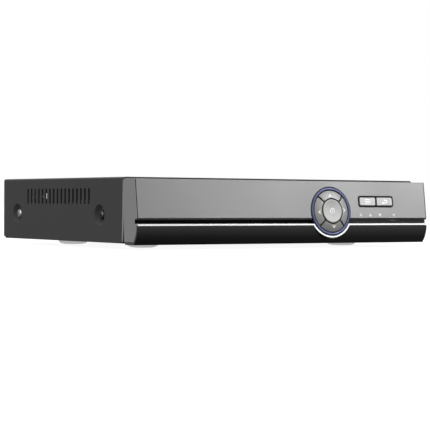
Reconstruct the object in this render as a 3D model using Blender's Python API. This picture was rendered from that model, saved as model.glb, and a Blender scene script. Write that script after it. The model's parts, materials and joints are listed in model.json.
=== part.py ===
"""Desktop video recorder: a folded steel case with a plastic front panel, keypad, boards, disk and fan.

Units are metres. X runs to the right as seen from the front, Y from front to back, and Z up.
The origin is the centre of the footprint, on the plane that the feet rest on.
"""

import math

import bmesh
import bpy
from mathutils import Matrix, Vector

# Driving sizes of the case
CASE_W = 0.255
CASE_D = 0.187
CASE_H = 0.0458
SHEET = 0.001
GAP = 0.0003  # between pieces that rest on each other
FOOT_H = 0.0041
FRONT_OUT = 0.0210  # how far the middle key stands in front of the case
JACK_OUT = 0.0140  # how far the video sockets stand behind it

CASE_FRONT = (FRONT_OUT - CASE_D - JACK_OUT) / 2
CASE_REAR = CASE_FRONT + CASE_D
HALF_W = CASE_W / 2
CASE_TOP = FOOT_H + CASE_H
FLOOR_TOP = FOOT_H + SHEET

# Front panel, as (forward of the case, above the case's bottom)
PANEL_WALL = 0.0022
FACE_TOP = (0.0148, 0.0445)
FACE_LOW = (0.01835, 0.0177)
TILT = math.atan2(FACE_LOW[0] - FACE_TOP[0], FACE_TOP[1] - FACE_LOW[1])
GROOVE_TOP = 0.0163
GROOVE_LOW = 0.0138
GROOVE_F = 0.0149  # the groove's back wall
GROOVE_BAR_T = 0.0010
LEDGE_F = 0.0178  # the ledge that carries the trim
PANEL_LOW = 0.0006
FASCIA_TOP = (0.0187, 0.0120)
FASCIA_LOW = (0.0139, -0.0008)
FASCIA_T = 0.0012
FASCIA_DF = FASCIA_TOP[0] - FASCIA_LOW[0]
FASCIA_DH = FASCIA_TOP[1] - FASCIA_LOW[1]
FASCIA_R = (FASCIA_DF**2 + FASCIA_DH**2) / (2 * FASCIA_DF)  # upright at its top edge

CLIP_W = 0.008
CLIP_T = 0.0016
CLIP_XS = (-0.090, -0.020, 0.095)
CLIP_HS = (0.0403, 0.0048)

# Keypad, in the plane of the tilted face: x to the right, v up the face, n out of it
PAD_X = 0.0365
PAD_H = 0.0225
PAD_F = FACE_LOW[0] - (PAD_H - FACE_LOW[1]) * math.tan(TILT)
RING_R = 0.0178
RING_IN_R = 0.0155
RING_OUT = 0.0006
RING_CROWN = 0.0007
RING_BACK = -0.0020
SEAT_R = RING_R + GAP
SEAT_BACK = -0.0125
CLEAR_FRONT = 0.004  # far enough out to cut right through the face
KEY_OUT_R = 0.0152
KEY_FLANGE_R = 0.0157
KEY_IN_R = 0.0095
KEY_SPLIT = 0.0009
KEY_TRAVEL = 0.0006
KEY_RISE = (0.0020, 0.0004)  # height of a direction key at its inner and outer edges
KEY_BACK = -0.0030
KEY_CHAMFER = 0.0003
KEY_FRAME_BACK = -0.0026
BAR_KEY_FRONT = 0.0005
OK_R = 0.0086
OK_RISE = 0.0022
OK_DISH = 0.0003
POST_R = 0.0015
POST_END = -0.0052
KEY_POST_R = 0.0122  # from the ring's centre to a direction key's post
SWITCH_TOP = POST_END - KEY_TRAVEL - 0.0001
SWITCH_BODY_TOP = SWITCH_TOP - 0.0008
SWITCH_SIDE = 0.0060
BOARD_FRONT = -0.01045
BOARD_T = 0.0016
KEY_BOARD_X = (0.0125 - PAD_X, 0.1120 - PAD_X)
KEY_BOARD_V = (-0.0165, 0.0175)
BOARD_HOLE_V = 0.0138
RIBBON_X = 0.0530
MENU_X = 0.0791 - PAD_X
MENU_V = (0.0298 - PAD_H) / math.cos(TILT)
FRAME_W = 0.0330
FRAME_H = 0.0084
FRAME_EDGE = 0.0010
FRAME_FRONT = 0.0002
FRAME_WINDOW = ((FRAME_W - 3 * FRAME_EDGE) / 2, FRAME_H - 2 * FRAME_EDGE)
FRAME_WINDOW_X = (FRAME_W - FRAME_EDGE) / 4  # from the frame's centre to each window's
BAR_KEY_GAP = 0.00025
LIGHT_XS = {"power_light": 0.0643, "alarm_light": 0.0732, "record_light": 0.0823}
IR_X = 0.0957
DIRECTIONS = {"right_key": 0.0, "up_key": math.pi / 2, "left_key": math.pi, "down_key": -math.pi / 2}
LIGHT_V = (0.01515 - PAD_H) / math.cos(TILT)
LIGHT_R = 0.0015

# Trim strip, also in the face's plane
TRIM_TOP_V = (0.0135 - PAD_H) / math.cos(TILT)
TRIM_LOW_V = (0.0123 - PAD_H) / math.cos(TILT)
TRIM_IN_R = SEAT_R
TRIM_OUT_R = 0.0195
TRIM_N = (-0.0007, 0.0002)
TRIM_DIP_BACK = -0.0060
DIP_V = TRIM_LOW_V - 0.0002

# Case side details, as distances from the case's front and above its bottom
SLOT_COUNT = 17
SLOT_PITCH = 0.0060
SLOT_W = 0.0025
SLOT_FIRST = 0.0494
SLOT_H = (0.0266, 0.0382)
DIMPLE_YS = {"front": 0.0343, "rear": 0.1635}
DIMPLE_H = 0.0194
DIMPLE_R = 0.0073
DIMPLE_FLOOR_R = 0.0048
DIMPLE_DEPTH = 0.0030
SCREW_R = 0.0015
SCREW_HEAD_R = 0.0034
SCREW_HEAD_H = 0.0020
SCREW_HOLE_R = 0.0018
SCREW_LENGTH = 0.0060
COVER_BEND = 0.0016
EDGE_BACK = (0.0028, 0.0016)  # how far behind the case's front the sides start, at the bottom and the top
NOTCH_L = 0.0070
NOTCH_H = 0.0010
FOOT_R = 0.0112
FOOT_FLAT_R = 0.0055
FOOT_DOME = 0.0032
FOOT_X = 0.0896
FOOT_YS = {"front": 0.0385, "rear": 0.1434}

# Inside the case
BOARD_UP = 0.0050
BOARD_TOP = FOOT_H + SHEET + BOARD_UP + BOARD_T
BOARD_X = (-0.0770, 0.1205)
BOARD_Y = (0.1160, CASE_D - SHEET - 0.0005)
DISK_X = (-0.1120, 0.0350)
DISK_Y = (0.0065, 0.1081)
DISK_UP = 0.0030
DISK_T = 0.0261
CHIP_CENTRE = (0.0150, CASE_FRONT + 0.1340)
CHIP_SIDE = 0.0180
CHIP_T = 0.0013
SINK_SIDE = 0.0220
SINK_H = 0.0100
SINK_BASE = 0.0020
SINK_FINS = 8
FAN_SIDE = 0.0400
FAN_T = 0.0100
FAN_X = -0.1015
FAN_H = 0.0218
FAN_HOLE_R = 0.0190
FAN_SCREW = 0.0160
ROTOR_R = 0.0183
HUB_R = 0.0105
BLADES = 7

# Sockets on the rear panel: centres along X and above the case's bottom
BNC_XS = [-0.0680, -0.0515, -0.0350, -0.0185, -0.0020]
BNC_NAMES = ["video_in_1", "video_in_2", "video_in_3", "video_in_4", "video_out"]
BNC_H = 0.0190
AUDIO_X = 0.0140
AUDIO_HS = (0.0150, 0.0290)
VGA_X = 0.0370
VGA_H = 0.0150
HDMI_X = 0.0635
USB_X = 0.0820
LAN_X = 0.1010
DC_X = 0.1160
DC_H = 0.0140
VGA_SCREW_X = 0.0125
HDMI_W, HDMI_HT = 0.0150, 0.0060
USB_W, USB_HT = 0.0134, 0.0156
LAN_W, LAN_HT = 0.0160, 0.0136
DC_R = 0.0038
SOCKET_BACK = -SHEET - GAP  # just inside the rear panel
REAR_SCREW_XS = {"left": -0.0700, "right": 0.0950}
REAR_SCREW_H = 0.0395

# Name: colour, roughness, metallic
MATERIALS = {
    "painted_steel": ((0.048, 0.048, 0.049), 0.55, 0.0),
    "zinc_steel": ((0.62, 0.62, 0.60), 0.35, 1.0),
    "grey_panel": ((0.34, 0.34, 0.345), 0.30, 0.2),
    "black_gloss": ((0.012, 0.012, 0.013), 0.12, 0.0),
    "black_matt": ((0.016, 0.016, 0.017), 0.55, 0.0),
    "white_trim": ((0.86, 0.86, 0.87), 0.15, 0.3),
    "smoked_lens": ((0.010, 0.009, 0.010), 0.08, 0.0),
    "blue_ring": ((0.10, 0.13, 0.27), 0.22, 0.5),
    "silver_key": ((0.46, 0.46, 0.46), 0.32, 0.5),
    "light_key": ((0.58, 0.58, 0.56), 0.38, 0.2),
    "clear_rubber": ((0.50, 0.50, 0.50), 0.35, 0.0),
    "green_board": ((0.02, 0.13, 0.06), 0.45, 0.0),
    "connector_metal": ((0.60, 0.60, 0.58), 0.28, 1.0),
    "connector_black": ((0.02, 0.02, 0.02), 0.45, 0.0),
    "cast_aluminium": ((0.45, 0.46, 0.47), 0.45, 0.9),
    "lamp_red": ((0.55, 0.03, 0.02), 0.25, 0.0),
    "lamp_green": ((0.05, 0.45, 0.08), 0.25, 0.0),
    "cable_grey": ((0.42, 0.42, 0.44), 0.55, 0.0),
    "cable_red": ((0.45, 0.03, 0.03), 0.50, 0.0),
}

FACE = (
    Matrix.Translation((PAD_X, CASE_FRONT - PAD_F, FOOT_H + PAD_H))
    @ Matrix.Rotation(math.pi / 2 - TILT, 4, "X")
)
# Local z of a mesh turned to world Y and to world X
ALONG_Y = Matrix.Rotation(-math.pi / 2, 4, "X")
ALONG_X = Matrix(((0, 0, 1, 0), (1, 0, 0, 0), (0, 1, 0, 0), (0, 0, 0, 1)))


# ---------------------------------------------------------------- outlines


def circle(radius, count, centre=(0.0, 0.0)):
    turns = [2 * math.pi * i / count for i in range(count)]
    return [(centre[0] + radius * math.cos(a), centre[1] + radius * math.sin(a)) for a in turns]


def arc(radius, start, end, count, centre=(0.0, 0.0)):
    """count + 1 points from the angle start to the angle end, in radians."""
    turns = [start + (end - start) * i / count for i in range(count + 1)]
    return [(centre[0] + radius * math.cos(a), centre[1] + radius * math.sin(a)) for a in turns]


def rectangle(width, height, centre=(0.0, 0.0)):
    left, right = centre[0] - width / 2, centre[0] + width / 2
    low, high = centre[1] - height / 2, centre[1] + height / 2
    return [(left, low), (right, low), (right, high), (left, high)]


def filleted(points, radius, count=3, closed=True):
    """The outline with each corner, or each inner point of an open line, rounded by an arc."""
    made = []
    for i, point in enumerate(points):
        if not closed and i in (0, len(points) - 1):
            made.append(point)
            continue
        here = Vector(point)
        back = (Vector(points[i - 1]) - here).normalized()
        ahead = (Vector(points[(i + 1) % len(points)]) - here).normalized()
        half = math.acos(max(-1.0, min(1.0, back.dot(ahead)))) / 2
        centre = here + (back + ahead).normalized() * (radius / math.sin(half))
        first = here + back * (radius / math.tan(half)) - centre
        swing = (math.pi - 2 * half) * (1 if back.cross(ahead) < 0 else -1)
        for step in range(count + 1):
            made.append(tuple(centre + Matrix.Rotation(swing * step / count, 2) @ first))
    return made


def rounded_rectangle(width, height, radius, centre=(0.0, 0.0), count=3):
    return filleted(rectangle(width, height, centre), radius, count)


def thick_line(points, thickness):
    """The outline of a band of this thickness along a smooth open line."""
    sides = ([], [])
    for i, point in enumerate(points):
        ahead = Vector(points[min(i + 1, len(points) - 1)]) - Vector(points[max(i - 1, 0)])
        aside = Vector((-ahead.y, ahead.x)).normalized() * thickness / 2
        sides[0].append(tuple(Vector(point) + aside))
        sides[1].append(tuple(Vector(point) - aside))
    return sides[0] + sides[1][::-1]


# ---------------------------------------------------------------- solids


def loft(mesh, rings, closed=False, place=Matrix(), top=True):
    """Skins rings with equal numbers of points. An open stack gets flat caps, and a closed one is a tube."""
    rows = [[mesh.verts.new(place @ Vector(p)) for p in ring] for ring in rings]
    pairs = list(zip(rows, rows[1:] + rows[:1])) if closed else list(zip(rows, rows[1:]))
    faces = []
    for low, high in pairs:
        for i in range(len(low)):
            j = (i + 1) % len(low)
            faces.append(mesh.faces.new((low[i], low[j], high[j], high[i])))
    if not closed:
        faces.append(mesh.faces.new(rows[0]))
    if not closed and top:
        faces.append(mesh.faces.new(rows[-1]))
    bmesh.ops.recalc_face_normals(mesh, faces=faces)
    return rows


def prism(mesh, outline, low, high, place=Matrix()):
    loft(mesh, [[(x, y, z) for x, y in outline] for z in (low, high)], place=place)


def block(mesh, low, high, place=Matrix()):
    corners = [(low[0], low[1]), (high[0], low[1]), (high[0], high[1]), (low[0], high[1])]
    prism(mesh, corners, low[2], high[2], place)


def turned(mesh, profile, count, place=Matrix()):
    """A solid of revolution about local z from (radius, height) pairs, with flat ends."""
    loft(mesh, [[(x, y, z) for x, y in circle(r, count)] for r, z in profile], place=place)


def hollow_turned(mesh, profile, count, place=Matrix()):
    """A ring about local z: the profile is a closed outline that stays off the axis."""
    loft(mesh, [[(x, y, z) for x, y in circle(r, count)] for r, z in profile], closed=True, place=place)


def across(mesh, outline, low, high):
    """A prism along X whose outline is in (Y, Z)."""
    prism(mesh, outline, low, high, ALONG_X)


def tube(mesh, points, radius, count):
    """A round bar along a smooth line in space."""
    path = [Vector(p) for p in points]
    rings = []
    for i, point in enumerate(path):
        ahead = (path[min(i + 1, len(path) - 1)] - path[max(i - 1, 0)]).normalized()
        side = ahead.cross(Vector((0, 0, 1))).normalized()
        up = side.cross(ahead)
        rings.append([point + side * x + up * y for x, y in circle(radius, count)])
    loft(mesh, rings)


# ---------------------------------------------------------------- objects


def remove_everything():
    for item in list(bpy.data.objects):
        bpy.data.objects.remove(item)


def make_materials():
    for name, (colour, roughness, metallic) in MATERIALS.items():
        finish = bpy.data.materials.new(name)
        finish.use_nodes = True
        shader = finish.node_tree.nodes["Principled BSDF"]
        shader.inputs["Base Color"].default_value = (*colour, 1.0)
        shader.inputs["Roughness"].default_value = roughness
        shader.inputs["Metallic"].default_value = metallic


def add(name, mesh, finish, parent=None, location=(0, 0, 0), rotation=(0, 0, 0)):
    """Turns a bmesh into a named object with its material."""
    data = bpy.data.meshes.new(name)
    mesh.to_mesh(data)
    mesh.free()
    data.materials.append(bpy.data.materials[finish])
    made = bpy.data.objects.new(name, data)
    bpy.context.scene.collection.objects.link(made)
    made.parent = parent
    made.location = location
    made.rotation_euler = rotation
    return made


def combine(target, mesh, operation):
    """Adds a Boolean whose other shape is a hidden helper, in the target's own space."""
    helper = add(f"{target.name}_{operation.lower()}_{len(target.modifiers)}", mesh, "black_matt", target)
    helper.hide_render = True
    helper.display_type = "WIRE"
    modifier = target.modifiers.new(operation.title(), "BOOLEAN")
    modifier.operation = operation
    modifier.solver = "EXACT"
    modifier.object = helper


def cut(target, mesh):
    combine(target, mesh, "DIFFERENCE")


def join(target, mesh):
    combine(target, mesh, "UNION")


def empty(name, matrix):
    made = bpy.data.objects.new(name, None)
    bpy.context.scene.collection.objects.link(made)
    made.matrix_world = matrix
    return made


def panel_points(points):
    """(forward, height) pairs of the front panel as (Y, Z)."""
    return [(CASE_FRONT - f, FOOT_H + h) for f, h in points]


def in_case(y, h):
    """(Y, Z) of a place this far behind the case's front and above its bottom."""
    return CASE_FRONT + y, FOOT_H + h


# ---------------------------------------------------------------- steel case


def side_openings(side):
    """The vent slots in one side of the cover."""
    mesh = bmesh.new()
    outer, inner = side * (HALF_W + 0.001), side * (HALF_W - 0.002)
    low_x, high_x = sorted((outer, inner))
    for i in range(SLOT_COUNT):
        y, z_low = in_case(SLOT_FIRST + i * SLOT_PITCH, SLOT_H[0])
        z_high = FOOT_H + SLOT_H[1]
        slot = rounded_rectangle(SLOT_W, z_high - z_low, SLOT_W * 0.3, (y, (z_low + z_high) / 2), 1)
        across(mesh, slot, low_x, high_x)
    return mesh


def dimple_place(side, y):
    """Local z points into the case from the outer surface of one side, at a dimple's centre."""
    turn = Matrix.Rotation(-side * math.pi / 2, 4, "Y")
    case_y, case_z = in_case(y, DIMPLE_H)
    return Matrix.Translation((side * HALF_W, case_y, case_z)) @ turn


def top_cover():
    """An inverted U of sheet with vent slots, four screw dimples and a lip behind the rear panel."""
    mesh = bmesh.new()
    z_low = FOOT_H + GAP
    bend_centre = (COVER_BEND - HALF_W, CASE_TOP - COVER_BEND)
    outer = [(-HALF_W, z_low), *arc(COVER_BEND, math.pi, math.pi / 2, 4, bend_centre)]
    inner = [(SHEET - HALF_W, z_low), *arc(COVER_BEND - SHEET, math.pi, math.pi / 2, 4, bend_centre)]
    outer += [(-x, z) for x, z in reversed(outer)]
    inner += [(-x, z) for x, z in reversed(inner)]
    upright = Matrix.Rotation(math.pi / 2, 4, "X")
    prism(mesh, outer + inner[::-1], -CASE_REAR, -CASE_FRONT, upright)
    cover = add("top_cover", mesh, "painted_steel")

    bosses = bmesh.new()
    recesses = bmesh.new()
    holes = bmesh.new()
    for side in (-1, 1):
        for y in DIMPLE_YS.values():
            place = dimple_place(side, y)
            slope = (DIMPLE_R - DIMPLE_FLOOR_R) / DIMPLE_DEPTH
            profile = [(DIMPLE_R + 0.0008, SHEET / 2), (DIMPLE_FLOOR_R + 0.0011, DIMPLE_DEPTH + SHEET)]
            turned(bosses, profile, 24, place)
            lead = 0.001
            profile = [(DIMPLE_R + slope * lead, -lead), (DIMPLE_FLOOR_R, DIMPLE_DEPTH)]
            turned(recesses, profile, 24, place)
            profile = [(SCREW_HOLE_R, DIMPLE_DEPTH - 0.001), (SCREW_HOLE_R, DIMPLE_DEPTH + 0.003)]
            turned(holes, profile, 12, place)
    join(cover, bosses)
    cut(cover, recesses)
    cut(cover, holes)
    for side in (-1, 1):
        cut(cover, side_openings(side))

    join(cover, rear_lip())
    cut(cover, rear_screw_holes())
    cut(cover, corner_notches())
    cut(cover, front_edges())


def side_edge(lead, end):
    """(Y, Z) of the slanted front edge of the cover's sides, at a height, moved forward by lead."""
    share = end / CASE_H
    return in_case(EDGE_BACK[0] + (EDGE_BACK[1] - EDGE_BACK[0]) * share - lead, end)


def front_edges():
    """What the cover's sides lack at the front, where lips of the front panel take over."""
    mesh = bmesh.new()
    front, top = -0.001, CASE_H - COVER_BEND
    outline = [in_case(front, 0.0), side_edge(0.0, 0.0), side_edge(0.0, top), in_case(front, top)]
    for side in (-1, 1):
        across(mesh, outline, *sorted((side * (HALF_W + 0.001), side * (HALF_W - SHEET - 0.0001))))
    return mesh


def rear_lip():
    """A flange that hangs from the cover just inside the rear panel, clear of the fan and the bends."""
    mesh = bmesh.new()
    y_back = CASE_REAR - SHEET - GAP
    left = FAN_X + FAN_SIDE / 2 + 0.006
    right = HALF_W - 0.005
    block(mesh, (left, y_back - SHEET, CASE_TOP - 0.009), (right, y_back, CASE_TOP - SHEET / 2))
    return mesh


def corner_notches():
    """Shallow steps in the bottom edges of both sides, at the rear."""
    mesh = bmesh.new()
    top = FOOT_H + GAP + NOTCH_H
    block(mesh, (-CASE_W, CASE_REAR - NOTCH_L, 0), (CASE_W, CASE_REAR + NOTCH_L, top))
    return mesh


def rear_screw_holes():
    mesh = bmesh.new()
    for x in REAR_SCREW_XS.values():
        place = Matrix.Translation((x, CASE_REAR, FOOT_H + REAR_SCREW_H)) @ ALONG_Y
        turned(mesh, [(SCREW_HOLE_R, -0.005), (SCREW_HOLE_R, 0.005)], 12, place)
    return mesh


def tray_plates(mesh):
    """Floor, rear panel, front wall and the tabs that the cover's side screws bite into."""
    half = HALF_W - SHEET - GAP
    wall_top = CASE_TOP - SHEET - GAP
    outline = [
        (CASE_FRONT, wall_top),
        (CASE_FRONT, FOOT_H),
        (CASE_REAR, FOOT_H),
        (CASE_REAR, wall_top),
        (CASE_REAR - SHEET, wall_top),
        (CASE_REAR - SHEET, FLOOR_TOP),
        (CASE_FRONT + SHEET, FLOOR_TOP),
        (CASE_FRONT + SHEET, wall_top),
    ]
    across(mesh, outline, -half, half)


def tray_supports(mesh):
    """Side tabs, board standoffs and disk standoffs, all rising from the floor."""
    tab_x = HALF_W - DIMPLE_DEPTH - SHEET - GAP
    for side in (-1, 1):
        for y in DIMPLE_YS.values():
            case_y, case_z = in_case(y, DIMPLE_H)
            low_x, high_x = sorted((side * tab_x, side * (tab_x - SHEET)))
            corner_low = (low_x, case_y - 0.010, FOOT_H + SHEET / 2)
            block(mesh, corner_low, (high_x, case_y + 0.010, case_z + 0.007))
    for x, y in board_corners():
        profile = [(0.003, FOOT_H + SHEET / 2), (0.003, FLOOR_TOP + BOARD_UP - GAP)]
        turned(mesh, profile, 8, Matrix.Translation((x, y, 0)))
    for x, y in disk_corners():
        profile = [(0.0045, FOOT_H + SHEET / 2), (0.0040, FLOOR_TOP + DISK_UP - GAP)]
        turned(mesh, profile, 8, Matrix.Translation((x, y, 0)))


def board_corners():
    y_low, y_high = (CASE_FRONT + y for y in BOARD_Y)
    return [(x, y) for x in (BOARD_X[0] + 0.004, BOARD_X[1] - 0.004) for y in (y_low + 0.005, y_high - 0.022)]


def disk_corners():
    """The four screw places under a 3.5 inch disk: 76.2 mm by 95.25 mm apart."""
    x_last = DISK_X[1] - 0.0412
    y_mid = CASE_FRONT + sum(DISK_Y) / 2
    return [(x, y_mid + dy) for x in (x_last - 0.0762, x_last) for dy in (-0.0476, 0.0476)]


def tray_openings():
    """Sockets' cut-outs, the fan's grille, the ribbon's window and the panel's clip slots."""
    mesh = bmesh.new()
    y_low, y_high = CASE_REAR - 0.003, CASE_REAR + 0.002
    for x in BNC_XS:
        turned(mesh, [(0.0066, -0.003), (0.0066, 0.002)], 16, rear_place(x, BNC_H))
    for h in AUDIO_HS:
        turned(mesh, [(0.0046, -0.003), (0.0046, 0.002)], 16, rear_place(AUDIO_X, h))
    prism(mesh, d_outline(GAP + 0.0003), -0.003, 0.002, rear_place(VGA_X, VGA_H))
    for side in (-1, 1):
        place = rear_place(VGA_X + side * VGA_SCREW_X, VGA_H)
        turned(mesh, [(0.0019, -0.003), (0.0019, 0.002)], 12, place)
    for x, width, height in ((HDMI_X, HDMI_W, HDMI_HT), (USB_X, USB_W, USB_HT), (LAN_X, LAN_W, LAN_HT)):
        low = (x - width / 2 - GAP, y_low, BOARD_TOP)
        block(mesh, low, (x + width / 2 + GAP, y_high, BOARD_TOP + 2 * GAP + height))
    turned(mesh, [(DC_R + GAP, -0.003), (DC_R + GAP, 0.002)], 16, rear_place(DC_X, DC_H))
    grille_cutter(mesh)
    block(mesh, (0.0405, CASE_FRONT - 0.001, FOOT_H + 0.012), (0.0655, CASE_FRONT + 0.002, FOOT_H + 0.028))
    for x, h in clip_places():
        low = (x - CLIP_W / 2 - GAP, CASE_FRONT - 0.001, FOOT_H + h - GAP)
        block(mesh, low, (x + CLIP_W / 2 + GAP, CASE_FRONT + 0.002, FOOT_H + h + CLIP_T + GAP + 0.0008))
    return mesh


def grille_cutter(mesh):
    """Upright slots whose ends follow a circle, with a bar left across the middle."""
    count, reach, width = 9, 0.0175, 0.0026
    for i in range(count):
        x = (i - (count - 1) / 2) * 0.0038
        top = math.sqrt(reach**2 - x**2)
        for side in (-1, 1):
            ends = sorted((side * 0.0008, side * top))
            slot = rectangle(width, ends[1] - ends[0], (x, sum(ends) / 2))
            prism(mesh, slot, -0.003, 0.002, rear_place(FAN_X, FAN_H))


def rear_place(x, h):
    """Local z points out of the rear panel, local y up, from its outer surface."""
    turn = Matrix(((-1, 0, 0, 0), (0, 0, 1, 0), (0, 1, 0, 0), (0, 0, 0, 1)))
    return Matrix.Translation((x, CASE_REAR, FOOT_H + h)) @ turn


def base_tray():
    mesh = bmesh.new()
    tray_plates(mesh)
    tray = add("base_tray", mesh, "painted_steel")
    supports = bmesh.new()
    tray_supports(supports)
    join(tray, supports)
    cut(tray, tray_openings())
    cut(tray, rear_screw_holes())
    screw_holes = bmesh.new()
    for side in (-1, 1):
        for y in DIMPLE_YS.values():
            profile = [(SCREW_HOLE_R, DIMPLE_DEPTH), (SCREW_HOLE_R, DIMPLE_DEPTH + 0.006)]
            turned(screw_holes, profile, 12, dimple_place(side, y))
    cut(tray, screw_holes)


def screw(name, place):
    """A pan-head screw with a cross recess. Its head's underside is at local z 0, and it points along +z."""
    head = SCREW_HEAD_H
    profile = [(SCREW_HEAD_R * 0.60, -head), (SCREW_HEAD_R, -head * 0.55), (SCREW_HEAD_R, 0.0)]
    profile += [(SCREW_R, 0.0), (SCREW_R, SCREW_LENGTH)]
    mesh = bmesh.new()
    turned(mesh, profile, 12)
    made = add(name, mesh, "zinc_steel")
    made.matrix_world = place
    arm, half = SCREW_HEAD_R * 0.56, 0.0004
    for turn in (0, math.pi / 2):
        drive = bmesh.new()
        bar = Matrix.Rotation(turn, 4, "Z")
        block(drive, (-arm, -half, -head - 0.001), (arm, half, -head * 0.35), bar)
        cut(made, drive)


def case_screws():
    for side, side_name in ((-1, "left"), (1, "right")):
        for end, y in DIMPLE_YS.items():
            place = dimple_place(side, y) @ Matrix.Translation((0, 0, DIMPLE_DEPTH - GAP))
            screw(f"side_screw_{side_name}_{end}", place)
    for end, x in REAR_SCREW_XS.items():
        place = rear_place(x, REAR_SCREW_H) @ Matrix.Translation((0, 0, GAP))
        screw(f"rear_screw_{end}", place @ Matrix.Rotation(math.pi, 4, "X"))


def feet():
    """Soft domes stuck under the floor, with a flat worn by the table."""
    turns = [math.pi / 2 * i / 4 for i in range(5)]
    reach = FOOT_R - FOOT_FLAT_R
    profile = [(FOOT_FLAT_R + reach * math.sin(a), FOOT_DOME * (1 - math.cos(a))) for a in turns]
    profile += [(FOOT_R, FOOT_H - GAP)]
    for side, side_name in ((-1, "left"), (1, "right")):
        for end, y in FOOT_YS.items():
            mesh = bmesh.new()
            turned(mesh, profile, 20)
            add(f"foot_{end}_{side_name}", mesh, "clear_rubber", location=(side * FOOT_X, CASE_FRONT + y, 0))


# ---------------------------------------------------------------- front panel


def clip_places():
    """(X, height) of the panel's snap clips: three under its top wall and three above its bottom wall."""
    return [(x, h) for h in CLIP_HS for x in CLIP_XS]


def behind_face(h, depth):
    """(forward, height) of the point this deep behind the tilted face, at a height."""
    return FACE_LOW[0] - (h - FACE_LOW[1]) * math.tan(TILT) - depth / math.cos(TILT), h


def fascia_arc(inset, low_h, count):
    """The fascia's front curve, or one behind it, from its top edge down to a height."""
    radius = FASCIA_R - inset
    centre = (FASCIA_TOP[0] - FASCIA_R, FASCIA_TOP[1])
    last = math.asin((low_h - centre[1]) / radius)
    return arc(radius, 0.0, last, count, centre)


def seat_cutter(radius, low, high):
    mesh = bmesh.new()
    prism(mesh, circle(radius, 48), low, high, FACE)
    return mesh


def dip_cutter(radius, low, high):
    """The part of a round hole that lies below the trim's level run."""
    mesh = bmesh.new()
    prism(mesh, below(radius, DIP_V), low, high, FACE)
    return mesh


def front_bezel():
    """The main moulding: tilted face, top, ends, groove and the curved backing of the fascia."""
    mesh = bmesh.new()
    across(mesh, panel_points(bezel_outline()), -HALF_W, HALF_W)
    bezel = add("front_bezel", mesh, "grey_panel")
    cut(bezel, bezel_cavity())
    cut(bezel, seat_cutter(SEAT_R, SEAT_BACK, CLEAR_FRONT))
    cut(bezel, dip_cutter(TRIM_OUT_R + GAP, TRIM_DIP_BACK - GAP, CLEAR_FRONT))
    cut(bezel, bezel_openings())
    clips = bmesh.new()
    for x, h in clip_places():
        across(clips, panel_points(clip_outline(h)), x - CLIP_W / 2, x + CLIP_W / 2)
    join(bezel, clips)
    join(bezel, board_bosses())
    join(bezel, side_lips())


def side_lips():
    """A thin lip behind each end wall, out to the slanted edge of the cover's side."""
    low, high = 0.0005, CASE_H - COVER_BEND - GAP
    front = -0.001
    outline = [in_case(front, low), side_edge(GAP, low), side_edge(GAP, high), in_case(front, high)]
    mesh = bmesh.new()
    for side in (-1, 1):
        across(mesh, outline, *sorted((side * (HALF_W - 0.0002), side * (HALF_W - SHEET))))
    return mesh


def bezel_outline():
    """The moulding's section: top wall, rounded brow, face, groove, ledge and curved lower front."""
    rear, top = GAP, FACE_TOP[1] + 0.0001
    brow = filleted([(rear, top), FACE_TOP, FACE_LOW], 0.0008, 3, closed=False)
    chin = (FACE_LOW[0] - 0.0010, GROOVE_TOP)
    outline = [*brow, chin, (GROOVE_F, GROOVE_TOP), (GROOVE_F, GROOVE_LOW)]
    outline += [(LEDGE_F, GROOVE_LOW), (LEDGE_F, FASCIA_TOP[1] + 0.0002)]
    outline += fascia_arc(FASCIA_T + GAP, PANEL_LOW, 8)
    return outline + [(rear, PANEL_LOW)]


def bezel_cavity():
    """The hollow behind the face, open at the rear."""
    rear = -0.005
    top, bottom = FACE_TOP[1] - PANEL_WALL + GAP, PANEL_LOW + PANEL_WALL
    step_f = GROOVE_F - PANEL_WALL - GAP
    outline = [(rear, top), behind_face(top - 0.0008, PANEL_WALL), behind_face(0.0182, PANEL_WALL)]
    outline += [(step_f, 0.0176), (step_f, 0.0090), (step_f - 0.0032, bottom), (rear, bottom)]
    mesh = bmesh.new()
    across(mesh, panel_points(outline), -HALF_W + PANEL_WALL, HALF_W - PANEL_WALL)
    return mesh


def bezel_openings():
    """The key frame's window, the lamps' holes and the receiver's slot."""
    mesh = bmesh.new()
    frame = rounded_rectangle(FRAME_W + 2 * GAP, FRAME_H + 2 * GAP, 0.0018, (MENU_X, MENU_V))
    prism(mesh, frame, -0.006, CLEAR_FRONT, FACE)
    for x in LIGHT_XS.values():
        prism(mesh, circle(LIGHT_R + GAP, 12, (x - PAD_X, LIGHT_V)), -0.007, -0.0032, FACE)
    slot_z = FOOT_H + (GROOVE_TOP + GROOVE_LOW) / 2
    slot_half_w, slot_half_h = 0.0035, 0.0008
    low = (IR_X - slot_half_w, CASE_FRONT - GROOVE_F - 0.0005, slot_z - slot_half_h)
    block(mesh, low, (IR_X + slot_half_w, CASE_FRONT - 0.0120, slot_z + slot_half_h))
    return mesh


def board_bosses():
    """Four posts behind the face, each with a pin through a corner hole of the keypad board."""
    mesh = bmesh.new()
    tip, shoulder = BOARD_FRONT - BOARD_T - 0.0006, BOARD_FRONT + GAP
    pin_r, post_r = 0.0012, 0.0025
    for x, v in board_holes():
        root = -PANEL_WALL / 2 if v > 0 else -0.0056
        place = FACE @ Matrix.Translation((x, v, 0))
        turned(mesh, [(pin_r, tip), (pin_r, shoulder), (post_r, shoulder), (post_r, root)], 10, place)
    return mesh


def board_holes():
    left, right = KEY_BOARD_X
    return [(x, v) for x in (left + 0.0035, right - 0.0035) for v in (-BOARD_HOLE_V, BOARD_HOLE_V)]


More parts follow.
